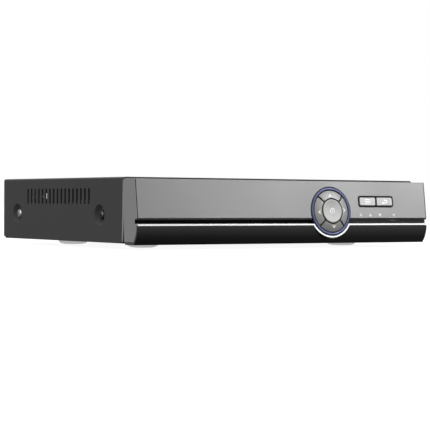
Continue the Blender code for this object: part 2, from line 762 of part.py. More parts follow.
def clip_outline(h):
    """A hooked tongue through the case's front wall, on a root that reaches the panel's nearest wall."""
    hook, root_front, root_rear = 0.0006, 0.0060, 0.0035
    tongue = [(root_rear, h), (-0.0040, h), (-0.0040, h + CLIP_T * 0.6), (-0.0016, h + CLIP_T + hook)]
    tongue += [(-0.0016, h + CLIP_T), (root_rear, h + CLIP_T)]
    if h > CASE_H / 2:
        wall = FACE_TOP[1] - 0.0006
        return [(root_front, h), *tongue, (root_rear, wall), (root_front, wall)]
    return [(root_front, 0.0010), (root_rear, 0.0010), *tongue, (root_front, h + CLIP_T)]


def lower_fascia():
    """The curved gloss skin below the trim, cut away round the navigation ring."""
    outline = fascia_arc(0.0, FASCIA_LOW[1], 12) + fascia_arc(FASCIA_T, FASCIA_LOW[1], 12)[::-1]
    mesh = bmesh.new()
    across(mesh, panel_points(outline), -HALF_W, HALF_W)
    fascia = add("lower_fascia", mesh, "black_gloss")
    cut(fascia, seat_cutter(TRIM_OUT_R + GAP, SEAT_BACK, CLEAR_FRONT))


def groove_piece(name, x_low, x_high, finish):
    """A shallow bar in the groove between the face and the trim, ending at the ring's seat."""
    low, high = GROOVE_LOW + GAP, GROOVE_TOP - GAP
    centre = (GROOVE_F + GAP + GROOVE_BAR_T / 2, (low + high) / 2)
    outline = rectangle(GROOVE_BAR_T, high - low, centre)
    mesh = bmesh.new()
    across(mesh, panel_points(outline), x_low, x_high)
    made = add(name, mesh, finish)
    cut(made, seat_cutter(SEAT_R + GAP, SEAT_BACK, CLEAR_FRONT))


def below(radius, level, count=28):
    """The part of a circle in the face's plane that lies below a level line, from left to right."""
    start = math.pi - math.asin(level / radius)
    return arc(radius, start, 3 * math.pi - start, count)


def trim_strip():
    """A thin bright band that runs level and dips round the lower half of the ring."""
    left, right = -HALF_W - PAD_X, HALF_W - PAD_X
    outline = [(left, TRIM_TOP_V), *below(TRIM_IN_R, TRIM_TOP_V), (right, TRIM_TOP_V), (right, TRIM_LOW_V)]
    outline += [*below(TRIM_OUT_R, TRIM_LOW_V)[::-1], (left, TRIM_LOW_V)]
    mesh = bmesh.new()
    prism(mesh, outline, *TRIM_N, FACE)
    strip = add("trim_strip", mesh, "white_trim")
    deep = bmesh.new()
    band = below(TRIM_IN_R + 0.0001, DIP_V - GAP) + below(TRIM_OUT_R - 0.0001, DIP_V - GAP)[::-1]
    prism(deep, band, TRIM_DIP_BACK, TRIM_N[1] - 0.0001, FACE)
    join(strip, deep)


# ---------------------------------------------------------------- keypad


SECTOR_STEPS = 8


def sector(centre_turn, in_r, out_r, inset=0.0):
    """A quarter ring between two diagonals, moved in from every edge by inset: outer arc, then inner arc."""
    side = KEY_SPLIT / 2 + inset
    in_r, out_r = in_r + inset, out_r - inset
    outer_half = math.pi / 4 - math.asin(side / out_r)
    inner_half = math.pi / 4 - math.asin(side / in_r)
    outer = arc(out_r, centre_turn - outer_half, centre_turn + outer_half, SECTOR_STEPS)
    inner = arc(in_r, centre_turn + inner_half, centre_turn - inner_half, SECTOR_STEPS)
    return outer + inner


def raised(outline, n):
    """The outline at one height."""
    return [(x, y, n) for x, y in outline]


def sloped(outline, drop):
    """The outline laid on a direction key's cone, or this far under it."""
    made = []
    for x, y in outline:
        share = (math.hypot(x, y) - KEY_IN_R) / (KEY_OUT_R - KEY_IN_R)
        made.append((x, y, KEY_RISE[0] + (KEY_RISE[1] - KEY_RISE[0]) * share - drop))
    return made


def add_post(key):
    post = bmesh.new()
    turned(post, [(POST_R, KEY_BACK + 0.001), (POST_R, POST_END)], 8)
    join(key, post)


def direction_key(name, turn, pad):
    """One quarter of the domed pad, held in by a flange behind the blue ring."""
    post = (KEY_POST_R * math.cos(turn), KEY_POST_R * math.sin(turn))
    flange, full = sector(turn, KEY_IN_R, KEY_FLANGE_R), sector(turn, KEY_IN_R, KEY_OUT_R)
    flange_n = RING_BACK - 0.0004
    rings = [raised(flange, KEY_BACK), raised(flange, flange_n), raised(full, flange_n + 0.0001)]
    rings += [sloped(full, KEY_CHAMFER), sloped(sector(turn, KEY_IN_R, KEY_OUT_R, KEY_CHAMFER), 0)]
    mesh = bmesh.new()
    rows = loft(mesh, rings, place=Matrix.Translation((-post[0], -post[1], 0)), top=False)
    last = 2 * SECTOR_STEPS + 1
    for i in range(SECTOR_STEPS):
        corners = (i, i + 1, last - i - 1, last - i)
        mesh.faces.new([rows[-1][corner] for corner in corners])
    bmesh.ops.recalc_face_normals(mesh, faces=mesh.faces)
    key = add(name, mesh, "silver_key", pad, (*post, 0))
    add_post(key)


def ok_key(pad):
    """The round middle key, with a shallow dish in its front."""
    edge = OK_R - KEY_CHAMFER
    profile = [(OK_R, KEY_BACK), (OK_R, OK_RISE - KEY_CHAMFER), (edge, OK_RISE)]
    profile += [(edge * s, OK_RISE - OK_DISH * (1 - s**2)) for s in (0.75, 0.50, 0.25)]
    mesh = bmesh.new()
    turned(mesh, profile, 32)
    key = add("ok_key", mesh, "silver_key", pad)
    add_post(key)


def bar_key(name, side, pad):
    """The menu or escape key: a rounded bar in its half of the black frame."""
    width, height = FRAME_WINDOW[0] - 2 * BAR_KEY_GAP, FRAME_WINDOW[1] - 2 * BAR_KEY_GAP
    corner, lap = 0.0008, 0.0009
    full = rounded_rectangle(width, height, corner)
    small = rounded_rectangle(width - 2 * KEY_CHAMFER, height - 2 * KEY_CHAMFER, corner - KEY_CHAMFER)
    flange = rounded_rectangle(width + lap, height + lap, corner)
    flange_n = KEY_FRAME_BACK - GAP
    rings = [raised(flange, flange_n - 0.0006), raised(flange, flange_n), raised(full, flange_n + 0.0001)]
    rings += [raised(full, BAR_KEY_FRONT - KEY_CHAMFER), raised(small, BAR_KEY_FRONT)]
    mesh = bmesh.new()
    loft(mesh, rings)
    centre = (MENU_X + side * FRAME_WINDOW_X, MENU_V)
    key = add(name, mesh, "light_key", pad, (*centre, 0))
    add_post(key)


def key_frame(pad):
    """The black surround of the menu and escape keys, with a bar between them."""
    mesh = bmesh.new()
    prism(mesh, rounded_rectangle(FRAME_W, FRAME_H, 0.0018), KEY_FRAME_BACK, FRAME_FRONT)
    frame = add("key_frame", mesh, "black_gloss", pad, (MENU_X, MENU_V, 0))
    windows = bmesh.new()
    for side in (-1, 1):
        window = rounded_rectangle(*FRAME_WINDOW, 0.0009, (side * FRAME_WINDOW_X, 0))
        prism(windows, window, KEY_FRAME_BACK - 0.001, FRAME_FRONT + 0.001)
    cut(frame, windows)


def dpad_ring(pad):
    """The blue ring: a rounded band round the direction keys."""
    side_n, half_w = RING_OUT - RING_CROWN, (RING_R - RING_IN_R) / 2
    turns = [math.pi * i / 4 for i in range(5)]
    crown = [(RING_IN_R + half_w * (1 - math.cos(a)), side_n + RING_CROWN * math.sin(a)) for a in turns]
    mesh = bmesh.new()
    hollow_turned(mesh, [(RING_IN_R, RING_BACK), *crown, (RING_R, RING_BACK)], 40)
    add("dpad_ring", mesh, "blue_ring", pad)


def dpad_well(pad):
    """The black cup behind the ring, whose floor guides the keys' posts."""
    front, back = RING_BACK - GAP, -0.0064
    floor_front, floor_back = KEY_BACK - KEY_TRAVEL - GAP, -0.0049
    beyond = 0.001
    wall_in = KEY_FLANGE_R + GAP
    mesh = bmesh.new()
    turned(mesh, [(RING_R, back), (RING_R, front)], 40)
    well = add("dpad_well", mesh, "black_matt", pad)
    hollows = bmesh.new()
    turned(hollows, [(wall_in, floor_front), (wall_in, front + beyond)], 40)
    turned(hollows, [(wall_in, back - beyond), (wall_in, floor_back)], 40)
    cut(well, hollows)
    holes = bmesh.new()
    for place in [(0, 0), *post_places()]:
        prism(holes, circle(POST_R + 0.0005, 8, place), floor_back - beyond, floor_front + beyond)
    cut(well, holes)


def post_places():
    return [(KEY_POST_R * math.cos(a), KEY_POST_R * math.sin(a)) for a in DIRECTIONS.values()]


def switch_places():
    """Switch name to its place in the face's plane."""
    places = dict(zip([n.replace("_key", "_switch") for n in DIRECTIONS], post_places()))
    places["ok_switch"] = (0, 0)
    for name, side in (("menu_switch", -1), ("escape_switch", 1)):
        places[name] = (MENU_X + side * FRAME_WINDOW_X, MENU_V)
    return places


def tact_switches(pad):
    """Six millimetre push switches, one behind each key's post."""
    body = rounded_rectangle(SWITCH_SIDE, SWITCH_SIDE, 0.0005, count=1)
    plunger_r = SWITCH_SIDE * 0.29
    for name, place in switch_places().items():
        mesh = bmesh.new()
        prism(mesh, body, BOARD_FRONT + GAP, SWITCH_BODY_TOP)
        switch = add(name, mesh, "black_matt", pad, (*place, 0))
        plunger = bmesh.new()
        turned(plunger, [(plunger_r, SWITCH_BODY_TOP - 0.0005), (plunger_r, SWITCH_TOP)], 10)
        join(switch, plunger)


def key_board(pad):
    """The keypad's circuit board, with its ribbon socket on the back."""
    (left, right), (low, high) = KEY_BOARD_X, KEY_BOARD_V
    back = BOARD_FRONT - BOARD_T
    mesh = bmesh.new()
    block(mesh, (left, low, back), (right, high, BOARD_FRONT))
    board = add("key_board", mesh, "green_board", pad)
    socket = bmesh.new()
    x, half_w = RIBBON_X - PAD_X, 0.0095
    block(socket, (x - half_w, -0.0035, back - 0.0030), (x + half_w, 0.0015, back + 0.0005))
    join(board, socket)
    holes = bmesh.new()
    for hole in board_holes():
        prism(holes, circle(0.0016, 8, hole), back - 0.001, BOARD_FRONT + 0.001)
    cut(board, holes)


def panel_lights(pad):
    """Three lamps behind the window, and the remote control's receiver beside them."""
    base, tip = BOARD_FRONT + GAP, -0.0050
    colours = {"power_light": "lamp_green", "alarm_light": "lamp_red", "record_light": "lamp_red"}
    collar_r = LIGHT_R * 1.25
    profile = [(collar_r, base), (collar_r, base + 0.0009), (LIGHT_R, base + 0.0010)]
    profile += [(LIGHT_R * math.cos(a), tip - LIGHT_R * (1 - math.sin(a))) for a in (0, 0.6, 1.2)]
    for name, x in LIGHT_XS.items():
        mesh = bmesh.new()
        turned(mesh, profile, 10)
        add(name, mesh, colours[name], pad, (x - PAD_X, LIGHT_V, 0))
    mesh = bmesh.new()
    block(mesh, (-0.0028, -0.0034, base), (0.0028, 0.0034, base + 0.0030))
    receiver = add("ir_receiver", mesh, "connector_black", pad, (IR_X - PAD_X, LIGHT_V, 0))
    lens = bmesh.new()
    turned(lens, [(0.0020, base + 0.0020), (0.0020, base + 0.0031), (0.0012, base + 0.0035)], 12)
    join(receiver, lens)


def keypad():
    pad = empty("keypad_frame", FACE)
    for name, turn in DIRECTIONS.items():
        direction_key(name, turn, pad)
    ok_key(pad)
    bar_key("menu_key", -1, pad)
    bar_key("escape_key", 1, pad)
    key_frame(pad)
    dpad_ring(pad)
    dpad_well(pad)
    tact_switches(pad)
    key_board(pad)
    panel_lights(pad)


# ---------------------------------------------------------------- boards, disk and cables


def main_board():
    mesh = bmesh.new()
    y_low, y_high = (CASE_FRONT + y for y in BOARD_Y)
    block(mesh, (BOARD_X[0], y_low, BOARD_TOP - BOARD_T), (BOARD_X[1], y_high, BOARD_TOP))
    board = add("main_board", mesh, "green_board")
    holes = bmesh.new()
    for x, y in board_corners():
        prism(holes, circle(0.0017, 12, (x, y)), BOARD_TOP - 0.004, BOARD_TOP + 0.002)
    cut(board, holes)
    chip = bmesh.new()
    low = BOARD_TOP + GAP
    prism(chip, rectangle(CHIP_SIDE, CHIP_SIDE, CHIP_CENTRE), low, low + CHIP_T)
    add("processor", chip, "connector_black")


def heat_sink():
    """Straight fins on a base plate, over the processor."""
    x, y = CHIP_CENTRE
    left, right = x - SINK_SIDE / 2, x + SINK_SIDE / 2
    bottom = BOARD_TOP + CHIP_T + 2 * GAP
    base, top = bottom + SINK_BASE, bottom + SINK_H
    pitch = SINK_SIDE / (SINK_FINS - 0.5)
    fins = []
    for i in range(SINK_FINS):
        start = left + i * pitch
        fins += [(start, base), (start, top), (start + pitch / 2, top), (start + pitch / 2, base)]
    outline = [(left, bottom), (right, bottom), *fins[-2:0:-1]]
    upright = Matrix.Rotation(math.pi / 2, 4, "X")
    mesh = bmesh.new()
    prism(mesh, outline, -(y + SINK_SIDE / 2), -(y - SINK_SIDE / 2), upright)
    add("heat_sink", mesh, "cast_aluminium")


def coin_cell():
    """The clock's battery in its holder."""
    place = Matrix.Translation((-0.0450, CASE_FRONT + 0.1290, BOARD_TOP + GAP))
    mesh = bmesh.new()
    turned(mesh, [(0.0075, 0), (0.0075, 0.0016), (0.0063, 0.0017), (0.0063, 0.0036)], 20, place)
    add("coin_cell", mesh, "connector_metal")


def hard_disk():
    """A 3.5 inch disk: cast body, raised lid, thin middle ends and a notch for its plugs."""
    z_low = FLOOR_TOP + DISK_UP
    z_high = z_low + DISK_T
    y_low, y_high = (CASE_FRONT + y for y in DISK_Y)
    mesh = bmesh.new()
    block(mesh, (DISK_X[0], y_low, z_low), (DISK_X[1], y_high, z_high - 0.0018))
    disk = add("hard_disk", mesh, "cast_aluminium")
    lid = bmesh.new()
    centre = (sum(DISK_X) / 2, (y_low + y_high) / 2)
    outline = rounded_rectangle(DISK_X[1] - DISK_X[0] - 0.006, y_high - y_low - 0.004, 0.008, centre, 3)
    prism(lid, outline, z_high - 0.0025, z_high)
    join(disk, lid)
    notch = bmesh.new()
    low = (DISK_X[1] - 0.009, y_high - 0.046, z_low - 0.001)
    block(notch, low, (DISK_X[1] + 0.001, y_high - 0.003, z_low + 0.0075))
    label = rounded_rectangle(0.094, 0.066, 0.003, (centre[0] - 0.012, centre[1]), 2)
    prism(notch, label, z_high - 0.0004, z_high + 0.001)
    cut(disk, notch)


def cable(name, plug_y, plug_w, end, radius, finish):
    """A lead from the disk's plug, round a bend, to a plug that stands on the main board."""
    end_x, end_y, end_w = end
    y, end_y = CASE_FRONT + plug_y, CASE_FRONT + end_y
    z, high = FLOOR_TOP + DISK_UP + 0.0036, BOARD_TOP + 0.0125
    half_l, half_t = 0.0085, 0.0030
    mesh = bmesh.new()
    low = (DISK_X[1] - half_l, y - plug_w / 2, z - half_t)
    block(mesh, low, (DISK_X[1] + half_l, y + plug_w / 2, z + half_t))
    made = add(name, mesh, finish)
    climb_y = end_y - 0.014
    line = [(DISK_X[1] + half_l - 0.002, y), (end_x, y), (end_x, climb_y)]
    points = [(px, py, z) for px, py in filleted(line, 0.008, 6, closed=False)[:-1]]
    rise = [(0, z), (0.0028, z), (0.0028, high), (0.014, high)]
    points += [(end_x, climb_y + dy, pz) for dy, pz in filleted(rise, 0.0026, 3, closed=False)]
    lead = bmesh.new()
    tube(lead, points, radius, 8)
    join(made, lead)
    plug = bmesh.new()
    low = (end_x - end_w / 2, end_y - half_t, BOARD_TOP + GAP)
    block(plug, low, (end_x + end_w / 2, end_y + half_t, high + 0.0022))
    join(made, plug)


def ribbon_cable():
    """A flat lead from the keypad board, through the front wall, under the disk's side, to the main board."""
    y, low = CASE_FRONT, FLOOR_TOP + 0.0011
    keypad_z, high = FOOT_H + 0.0200, BOARD_TOP + 0.0110
    climb_y, end_y = y + 0.1105, y + 0.1220
    points = [(y - 0.0008, keypad_z), (y + 0.0040, keypad_z), (y + 0.0040, low), (climb_y, low)]
    points += [(climb_y, high), (end_y, high), (end_y, BOARD_TOP + 0.0030)]
    path = filleted(points, 0.0020, 4, closed=False)
    half, plug_half = 0.0080, 0.0095
    mesh = bmesh.new()
    across(mesh, thick_line(path, 0.0008), RIBBON_X - half, RIBBON_X + half)
    made = add("ribbon_cable", mesh, "cable_grey")
    plugs = bmesh.new()
    left, right = RIBBON_X - plug_half, RIBBON_X + plug_half
    block(plugs, (left, end_y - 0.0030, BOARD_TOP + GAP), (right, end_y + 0.0030, BOARD_TOP + 0.0065))
    block(plugs, (left, y - 0.0022, keypad_z - 0.0022), (right, y - 0.0003, keypad_z + 0.0022))
    join(made, plugs)


# ---------------------------------------------------------------- fan


def fan_frame():
    """A square frame with a round duct and a hub plate on four spokes."""
    back = -SHEET - GAP
    place = rear_place(FAN_X, FAN_H)
    mesh = bmesh.new()
    prism(mesh, rounded_rectangle(FAN_SIDE, FAN_SIDE, 0.002), back - FAN_T, back, place)
    frame = add("fan_frame", mesh, "black_matt")
    duct = bmesh.new()
    prism(duct, circle(FAN_HOLE_R, 40), back - FAN_T - 0.001, back + 0.001, place)
    for corner in rectangle(2 * FAN_SCREW, 2 * FAN_SCREW):
        prism(duct, circle(0.0017, 10, corner), back - FAN_T - 0.001, back + 0.001, place)
    cut(frame, duct)
    low, high = back - FAN_T, back - FAN_T + 0.0014
    reach, half = FAN_HOLE_R + 0.0008, 0.0012
    for turn in (math.pi / 4, 3 * math.pi / 4):
        spoke = bmesh.new()
        block(spoke, (-reach, -half, low), (reach, half, high), place @ Matrix.Rotation(turn, 4, "Z"))
        join(frame, spoke)
    hub = bmesh.new()
    turned(hub, [(HUB_R, low), (HUB_R, high)], 24, place)
    join(frame, hub)


def fan_rotor():
    """A hub cap with twisted blades, turning about the duct's axis."""
    hub_low, hub_high = -0.0090, -0.0018
    mesh = bmesh.new()
    profile = [(HUB_R, hub_low), (HUB_R, hub_high - 0.0006), (HUB_R - 0.0006, hub_high)]
    turned(mesh, profile, 28)
    rotor = add("fan_rotor", mesh, "black_matt")
    rotor.matrix_world = rear_place(FAN_X, FAN_H)
    middle_n = (hub_low + hub_high) / 2
    rings = [blade_section(step / 3, middle_n) for step in range(4)]
    blades = bmesh.new()
    for i in range(BLADES):
        loft(blades, rings, place=Matrix.Rotation(2 * math.pi * i / BLADES, 4, "Z"))
    join(rotor, blades)


def blade_section(share, middle_n):
    """A blade's four corners, from its root in the hub (share 0) to its tip (share 1), turning flatter."""
    root_r = HUB_R - 0.0015
    pitch = math.radians(42 - 14 * share)
    along = Vector((0, math.cos(pitch), math.sin(pitch))) * (0.0042 + 0.0012 * share)
    thick = Vector((0, -math.sin(pitch), math.cos(pitch))) * 0.00045
    middle = Vector((root_r + share * (ROTOR_R - root_r), 0, middle_n))
    corners = (middle - along - thick, middle + along - thick, middle + along + thick, middle - along + thick)
    return [trim_radius(corner) for corner in corners]


def trim_radius(point):
    """Pulls a blade's corner in so that no part of it leaves the rotor's circle."""
    reach = math.hypot(point.x, point.y)
    if reach <= ROTOR_R:
        return point
    return Vector((math.sqrt(ROTOR_R**2 - point.y**2), point.y, point.z))


# ---------------------------------------------------------------- sockets

def housing(mesh, x_half, depth, low_h, high_h, h_centre, front=SOCKET_BACK):
    """A socket's block on the main board, in the socket's own rear-facing space."""
    block(mesh, (-x_half, low_h - h_centre, front - depth), (x_half, high_h - h_centre, front))


def board_h():
    """Where a socket's underside sits, above the case's bottom."""
    return BOARD_TOP + GAP - FOOT_H


def bnc_socket(name, x):
    """A bayonet video socket: block, threaded neck, barrel with two lugs, and its insulator."""
    mesh = bmesh.new()
    housing(mesh, 0.0070, 0.0130, board_h(), BNC_H + 0.0072, BNC_H)
    socket = add(name, mesh, "connector_metal")
    socket.matrix_world = rear_place(x, BNC_H)
    neck, bore, pin = 0.0035, 0.0041, 0.0024
    profile = [(0.0062, SOCKET_BACK - 0.001), (0.0062, neck), (0.0048, neck), (0.0048, JACK_OUT)]
    profile += [(bore, JACK_OUT), (bore, neck), (pin, neck), (pin, JACK_OUT - 0.0025)]
    barrel = bmesh.new()
    turned(barrel, profile, 16)
    lug_place = Matrix.Translation((0, 0, JACK_OUT - 0.0035)) @ Matrix.Rotation(math.pi / 2, 4, "Y")
    join(socket, barrel)
    lugs = bmesh.new()
    for side in (-1, 1):
        ends = sorted((side * 0.0044, side * 0.0056))
        turned(lugs, [(0.0010, ends[0]), (0.0010, ends[1])], 8, lug_place)
    join(socket, lugs)


def audio_jacks():
    """Two phono sockets, one above the other, in one block."""
    middle = sum(AUDIO_HS) / 2
    mesh = bmesh.new()
    housing(mesh, 0.0050, 0.0120, board_h(), AUDIO_HS[1] + 0.0055, middle)
    jacks = add("audio_jacks", mesh, "connector_black")
    jacks.matrix_world = rear_place(AUDIO_X, middle)
    for h in AUDIO_HS:
        place = Matrix.Translation((0, h - middle, 0))
        barrel = bmesh.new()
        turned(barrel, [(0.0042, SOCKET_BACK - 0.001), (0.0042, 0.0090), (0.0036, 0.0094)], 20, place)
        join(jacks, barrel)
        bore = bmesh.new()
        turned(bore, [(0.0016, -0.006), (0.0016, 0.0110)], 12, place)
        cut(jacks, bore)


def d_outline(grow=0.0):
    """The D shape of a 15-pin display socket."""
    top, low, high = 0.0083 + grow, 0.0070 + grow, 0.0040 + grow
    return filleted([(-low, -high), (low, -high), (top, high), (-top, high)], 0.0016, 2)


def vga_port():
    """A 15-pin display socket with its D shell and two hexagonal jack posts."""
    mesh = bmesh.new()
    housing(mesh, 0.0155, 0.0100, board_h(), VGA_H + 0.0062, VGA_H)
    port = add("vga_port", mesh, "connector_metal")
    port.matrix_world = rear_place(VGA_X, VGA_H)
    shell = bmesh.new()
    prism(shell, d_outline(), SOCKET_BACK - 0.001, 0.0058)
    for side in (-1, 1):
        place = Matrix.Translation((side * VGA_SCREW_X, 0, 0))
        turned(shell, [(0.0015, SOCKET_BACK - 0.001), (0.0015, 0.0012)], 12, place)
    join(port, shell)
    posts = bmesh.new()
    for side in (-1, 1):
        prism(posts, circle(0.0027, 6, (side * VGA_SCREW_X, 0)), 0.0004, 0.0052)
    join(port, posts)
    hollows = bmesh.new()
    prism(hollows, d_outline(-0.0005), 0.0004, 0.0070)
    for side in (-1, 1):
        prism(hollows, circle(0.0013, 10, (side * VGA_SCREW_X, 0)), 0.0016, 0.0070)
    cut(port, hollows)


def shell_port(name, x, size, mouths, mouth_depth, tongues):
    """A sheet-metal socket just proud of the rear panel, with mouths cut in it and tongues left inside."""
    width, height, depth = size
    mesh = bmesh.new()
    block(mesh, (-width / 2, 0, -depth), (width / 2, height, 0.0006))
    port = add(name, mesh, "connector_metal")
    port.matrix_world = rear_place(x, board_h())
    hollows = bmesh.new()
    for outline in mouths:
        prism(hollows, outline, -mouth_depth, 0.002)
    cut(port, hollows)
    for outline in tongues:
        tongue = bmesh.new()
        prism(tongue, outline, -mouth_depth - 0.001, -0.0015)
        join(port, tongue)


def digital_ports():
    """The digital display, USB and network sockets."""
    wall = 0.0006
    middle = (0, HDMI_HT / 2)
    mouth = rectangle(HDMI_W - 2 * wall, HDMI_HT - 2 * wall, middle)
    tongue = rectangle(0.0100, 0.0010, middle)
    shell_port("hdmi_port", HDMI_X, (HDMI_W, HDMI_HT, 0.0120), [mouth], 0.0090, [tongue])
    mouths, tongues = [], []
    for side in (-1, 1):
        centre_h = USB_HT / 2 + side * 0.0037
        mouths.append(rectangle(USB_W - 2 * wall, 0.0053, (0, centre_h)))
        tongues.append(rectangle(0.0112, 0.0015, (0, centre_h + 0.0010)))
    shell_port("usb_port", USB_X, (USB_W, USB_HT, 0.0170), mouths, 0.0125, tongues)
    shell_port("lan_port", LAN_X, (LAN_W, LAN_HT, 0.0210), [network_mouth()], 0.0130, [])


def network_mouth():
    """A rectangle with a narrower step below it for the plug's latch."""
    half, latch = 0.0059, 0.0032
    low, floor, high = 0.0012, 0.0030, 0.0112
    body = [(-half, floor), (-half, high), (half, high), (half, floor)]
    return body + [(latch, floor), (latch, low), (-latch, low), (-latch, floor)]


def dc_jack():
    """The low-voltage supply socket: a round mouth with a pin down its middle."""
    mesh = bmesh.new()
    housing(mesh, 0.0045, 0.0115, board_h(), DC_H + 0.0050, DC_H)
    jack = add("dc_jack", mesh, "connector_black")
    jack.matrix_world = rear_place(DC_X, DC_H)
    neck = bmesh.new()
    turned(neck, [(DC_R, SOCKET_BACK - 0.001), (DC_R, 0.0010)], 20)
    join(jack, neck)
    bore = bmesh.new()
    pin_r, bore_r = 0.0011, 0.0029
    hollow_turned(bore, [(pin_r, -0.0090), (bore_r, -0.0090), (bore_r, 0.0020), (pin_r, 0.0020)], 16)
    cut(jack, bore)


def main():
    remove_everything()
    make_materials()
    base_tray()
    top_cover()
    case_screws()
    feet()
    front_bezel()
    lower_fascia()
    groove_piece("groove_strip", -HALF_W, PAD_X, "black_gloss")
    groove_piece("light_window", PAD_X, HALF_W, "smoked_lens")
    trim_strip()
    keypad()
    main_board()
    heat_sink()
    coin_cell()
    hard_disk()
    cable("sata_data_cable", 0.0975, 0.0140, (0.0700, 0.1240, 0.0070), 0.0018, "cable_red")
    cable("sata_power_cable", 0.0760, 0.0230, (0.0830, 0.1240, 0.0100), 0.0022, "cable_grey")
    ribbon_cable()
    fan_frame()
    fan_rotor()
    for name, x in zip(BNC_NAMES, BNC_XS):
        bnc_socket(name, x)
    audio_jacks()
    vga_port()
    digital_ports()
    dc_jack()


main()
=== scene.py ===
import json
import math

import bmesh
import bpy
from mathutils import Matrix, Vector

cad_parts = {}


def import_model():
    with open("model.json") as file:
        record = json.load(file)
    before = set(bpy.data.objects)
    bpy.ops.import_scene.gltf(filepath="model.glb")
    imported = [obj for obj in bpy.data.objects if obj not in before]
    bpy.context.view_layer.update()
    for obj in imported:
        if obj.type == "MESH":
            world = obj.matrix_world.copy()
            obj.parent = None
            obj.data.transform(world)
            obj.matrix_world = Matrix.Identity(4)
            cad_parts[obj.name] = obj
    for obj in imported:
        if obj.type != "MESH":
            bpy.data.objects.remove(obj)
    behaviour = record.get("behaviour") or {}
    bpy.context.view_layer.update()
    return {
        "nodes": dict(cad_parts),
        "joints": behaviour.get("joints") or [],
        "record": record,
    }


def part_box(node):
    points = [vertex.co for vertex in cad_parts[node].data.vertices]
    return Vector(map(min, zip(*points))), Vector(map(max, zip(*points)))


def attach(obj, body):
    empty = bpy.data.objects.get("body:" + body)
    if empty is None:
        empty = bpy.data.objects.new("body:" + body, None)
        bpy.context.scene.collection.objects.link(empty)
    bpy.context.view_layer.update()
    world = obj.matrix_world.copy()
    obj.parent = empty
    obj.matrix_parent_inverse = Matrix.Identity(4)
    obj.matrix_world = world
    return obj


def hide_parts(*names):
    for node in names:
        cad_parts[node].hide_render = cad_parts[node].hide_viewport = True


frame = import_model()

MM = 0.001
NODES = frame["nodes"]
JOINTS = {joint["name"]: joint for joint in frame["joints"]}

# The case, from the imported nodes
COVER_LOW, COVER_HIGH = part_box("top_cover")
FRONT_Y, REAR_Y = COVER_LOW.y, COVER_HIGH.y
FLOOR_Z, TOP_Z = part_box("base_tray")[0].z, COVER_HIGH.z
PANEL_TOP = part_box("front_bezel")[1].z
HALF_W = COVER_HIGH.x
GAP = 0.3 * MM
SHEET = 1.0 * MM
# Local x, y and z of an outline turned to world Y, Z and X
ALONG_X = Matrix(((0, 0, 1, 0), (1, 0, 0, 0), (0, 1, 0, 0), (0, 0, 0, 1)))

# The tilted face: RIGHT, UP along it, and NORMAL out of it, opposite to the way a key is pressed
RIGHT = Vector((1, 0, 0))
NORMAL = -Vector(JOINTS["ok_press"]["axis"]).normalized()
UP = NORMAL.cross(RIGHT)
TO_FACE = Matrix((RIGHT, UP, NORMAL))


def spread(points):
    """Lowest and highest corner of some points."""
    return (Vector(map(min, zip(*points))), Vector(map(max, zip(*points))))


def middle_of(node):
    low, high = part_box(node)
    return (low + high) / 2


def facewise(node):
    """A node's vertices, measured along RIGHT, UP and NORMAL."""
    return [TO_FACE @ vertex.co for vertex in NODES[node].data.vertices]


RING_LOW, RING_HIGH = spread(facewise("dpad_ring"))
RING_R = (RING_HIGH.x - RING_LOW.x) / 2
FACE_N = spread(facewise("front_bezel"))[1].z
PAD = Vector(((RING_LOW.x + RING_HIGH.x) / 2, (RING_LOW.y + RING_HIGH.y) / 2, FACE_N))
ORIGIN = TO_FACE.transposed() @ PAD
FACE = Matrix.Translation(ORIGIN) @ TO_FACE.transposed().to_4x4()


def on_pad(node, crown=False):
    """A node's extent on the face, from the ring's centre: all of it, or only its foremost surface."""
    points = [point - PAD for point in facewise(node)]
    if crown:
        front = max(point.z for point in points)
        points = [point for point in points if point.z > front - 0.05 * MM]
    return spread(points)


def pad_radii(node):
    """A node's smallest and largest distance from the ring's axis."""
    reach = [math.hypot(*(point - PAD).xy) for point in facewise(node)]
    return min(reach), max(reach)


def face_yz(up, out=0.0):
    """World (Y, Z) of a place on the face."""
    point = ORIGIN + UP * up + NORMAL * out
    return point.y, point.z


# ---------------------------------------------------------------- outlines


def steps(low, high, count):
    return [low + (high - low) * i / count for i in range(count + 1)]


def arc(radius, start, end, count, centre=(0.0, 0.0)):
    turns = steps(start, end, count)
    return [(centre[0] + radius * math.cos(a), centre[1] + radius * math.sin(a)) for a in turns]


def circle(radius, count, centre=(0.0, 0.0)):
    return arc(radius, 0.0, 2 * math.pi, count, centre)[:-1]


def soft_rim(radius, top, soft, turns):
    """(radius, height) points of a rounded upper rim, for angles that rise from 0 at its side to its top."""
    return [(radius - soft * (1 - math.cos(a)), top - soft * (1 - math.sin(a))) for a in turns]


def rectangle(width, height, centre=(0.0, 0.0)):
    x, y = centre
    right, top = width / 2, height / 2
    return [(x - right, y - top), (x + right, y - top), (x + right, y + top), (x - right, y + top)]


def filleted(points, radius, count=6, closed=True):
    """The outline with each corner, or each inner point of an open line, rounded by an arc."""
    made = []
    for i, point in enumerate(points):
        if not closed and i in (0, len(points) - 1):
            made.append(tuple(point))
            continue
        here = Vector(point)
        back = (Vector(points[i - 1]) - here).normalized()
        ahead = (Vector(points[(i + 1) % len(points)]) - here).normalized()
        half = math.acos(max(-1.0, min(1.0, back.dot(ahead)))) / 2
        centre = here + (back + ahead).normalized() * (radius / math.sin(half))
        first = here + back * (radius / math.tan(half)) - centre
        swing = (math.pi - 2 * half) * (1 if back.cross(ahead) < 0 else -1)
        for step in range(count + 1):
            made.append(tuple(centre + Matrix.Rotation(swing * step / count, 2) @ first))
    return made


def rounded_rectangle(width, height, radius, centre=(0.0, 0.0), count=5):
    return filleted(rectangle(width, height, centre), radius, count)


def moved(outline, x, y):
    return [(px + x, py + y) for px, py in outline]


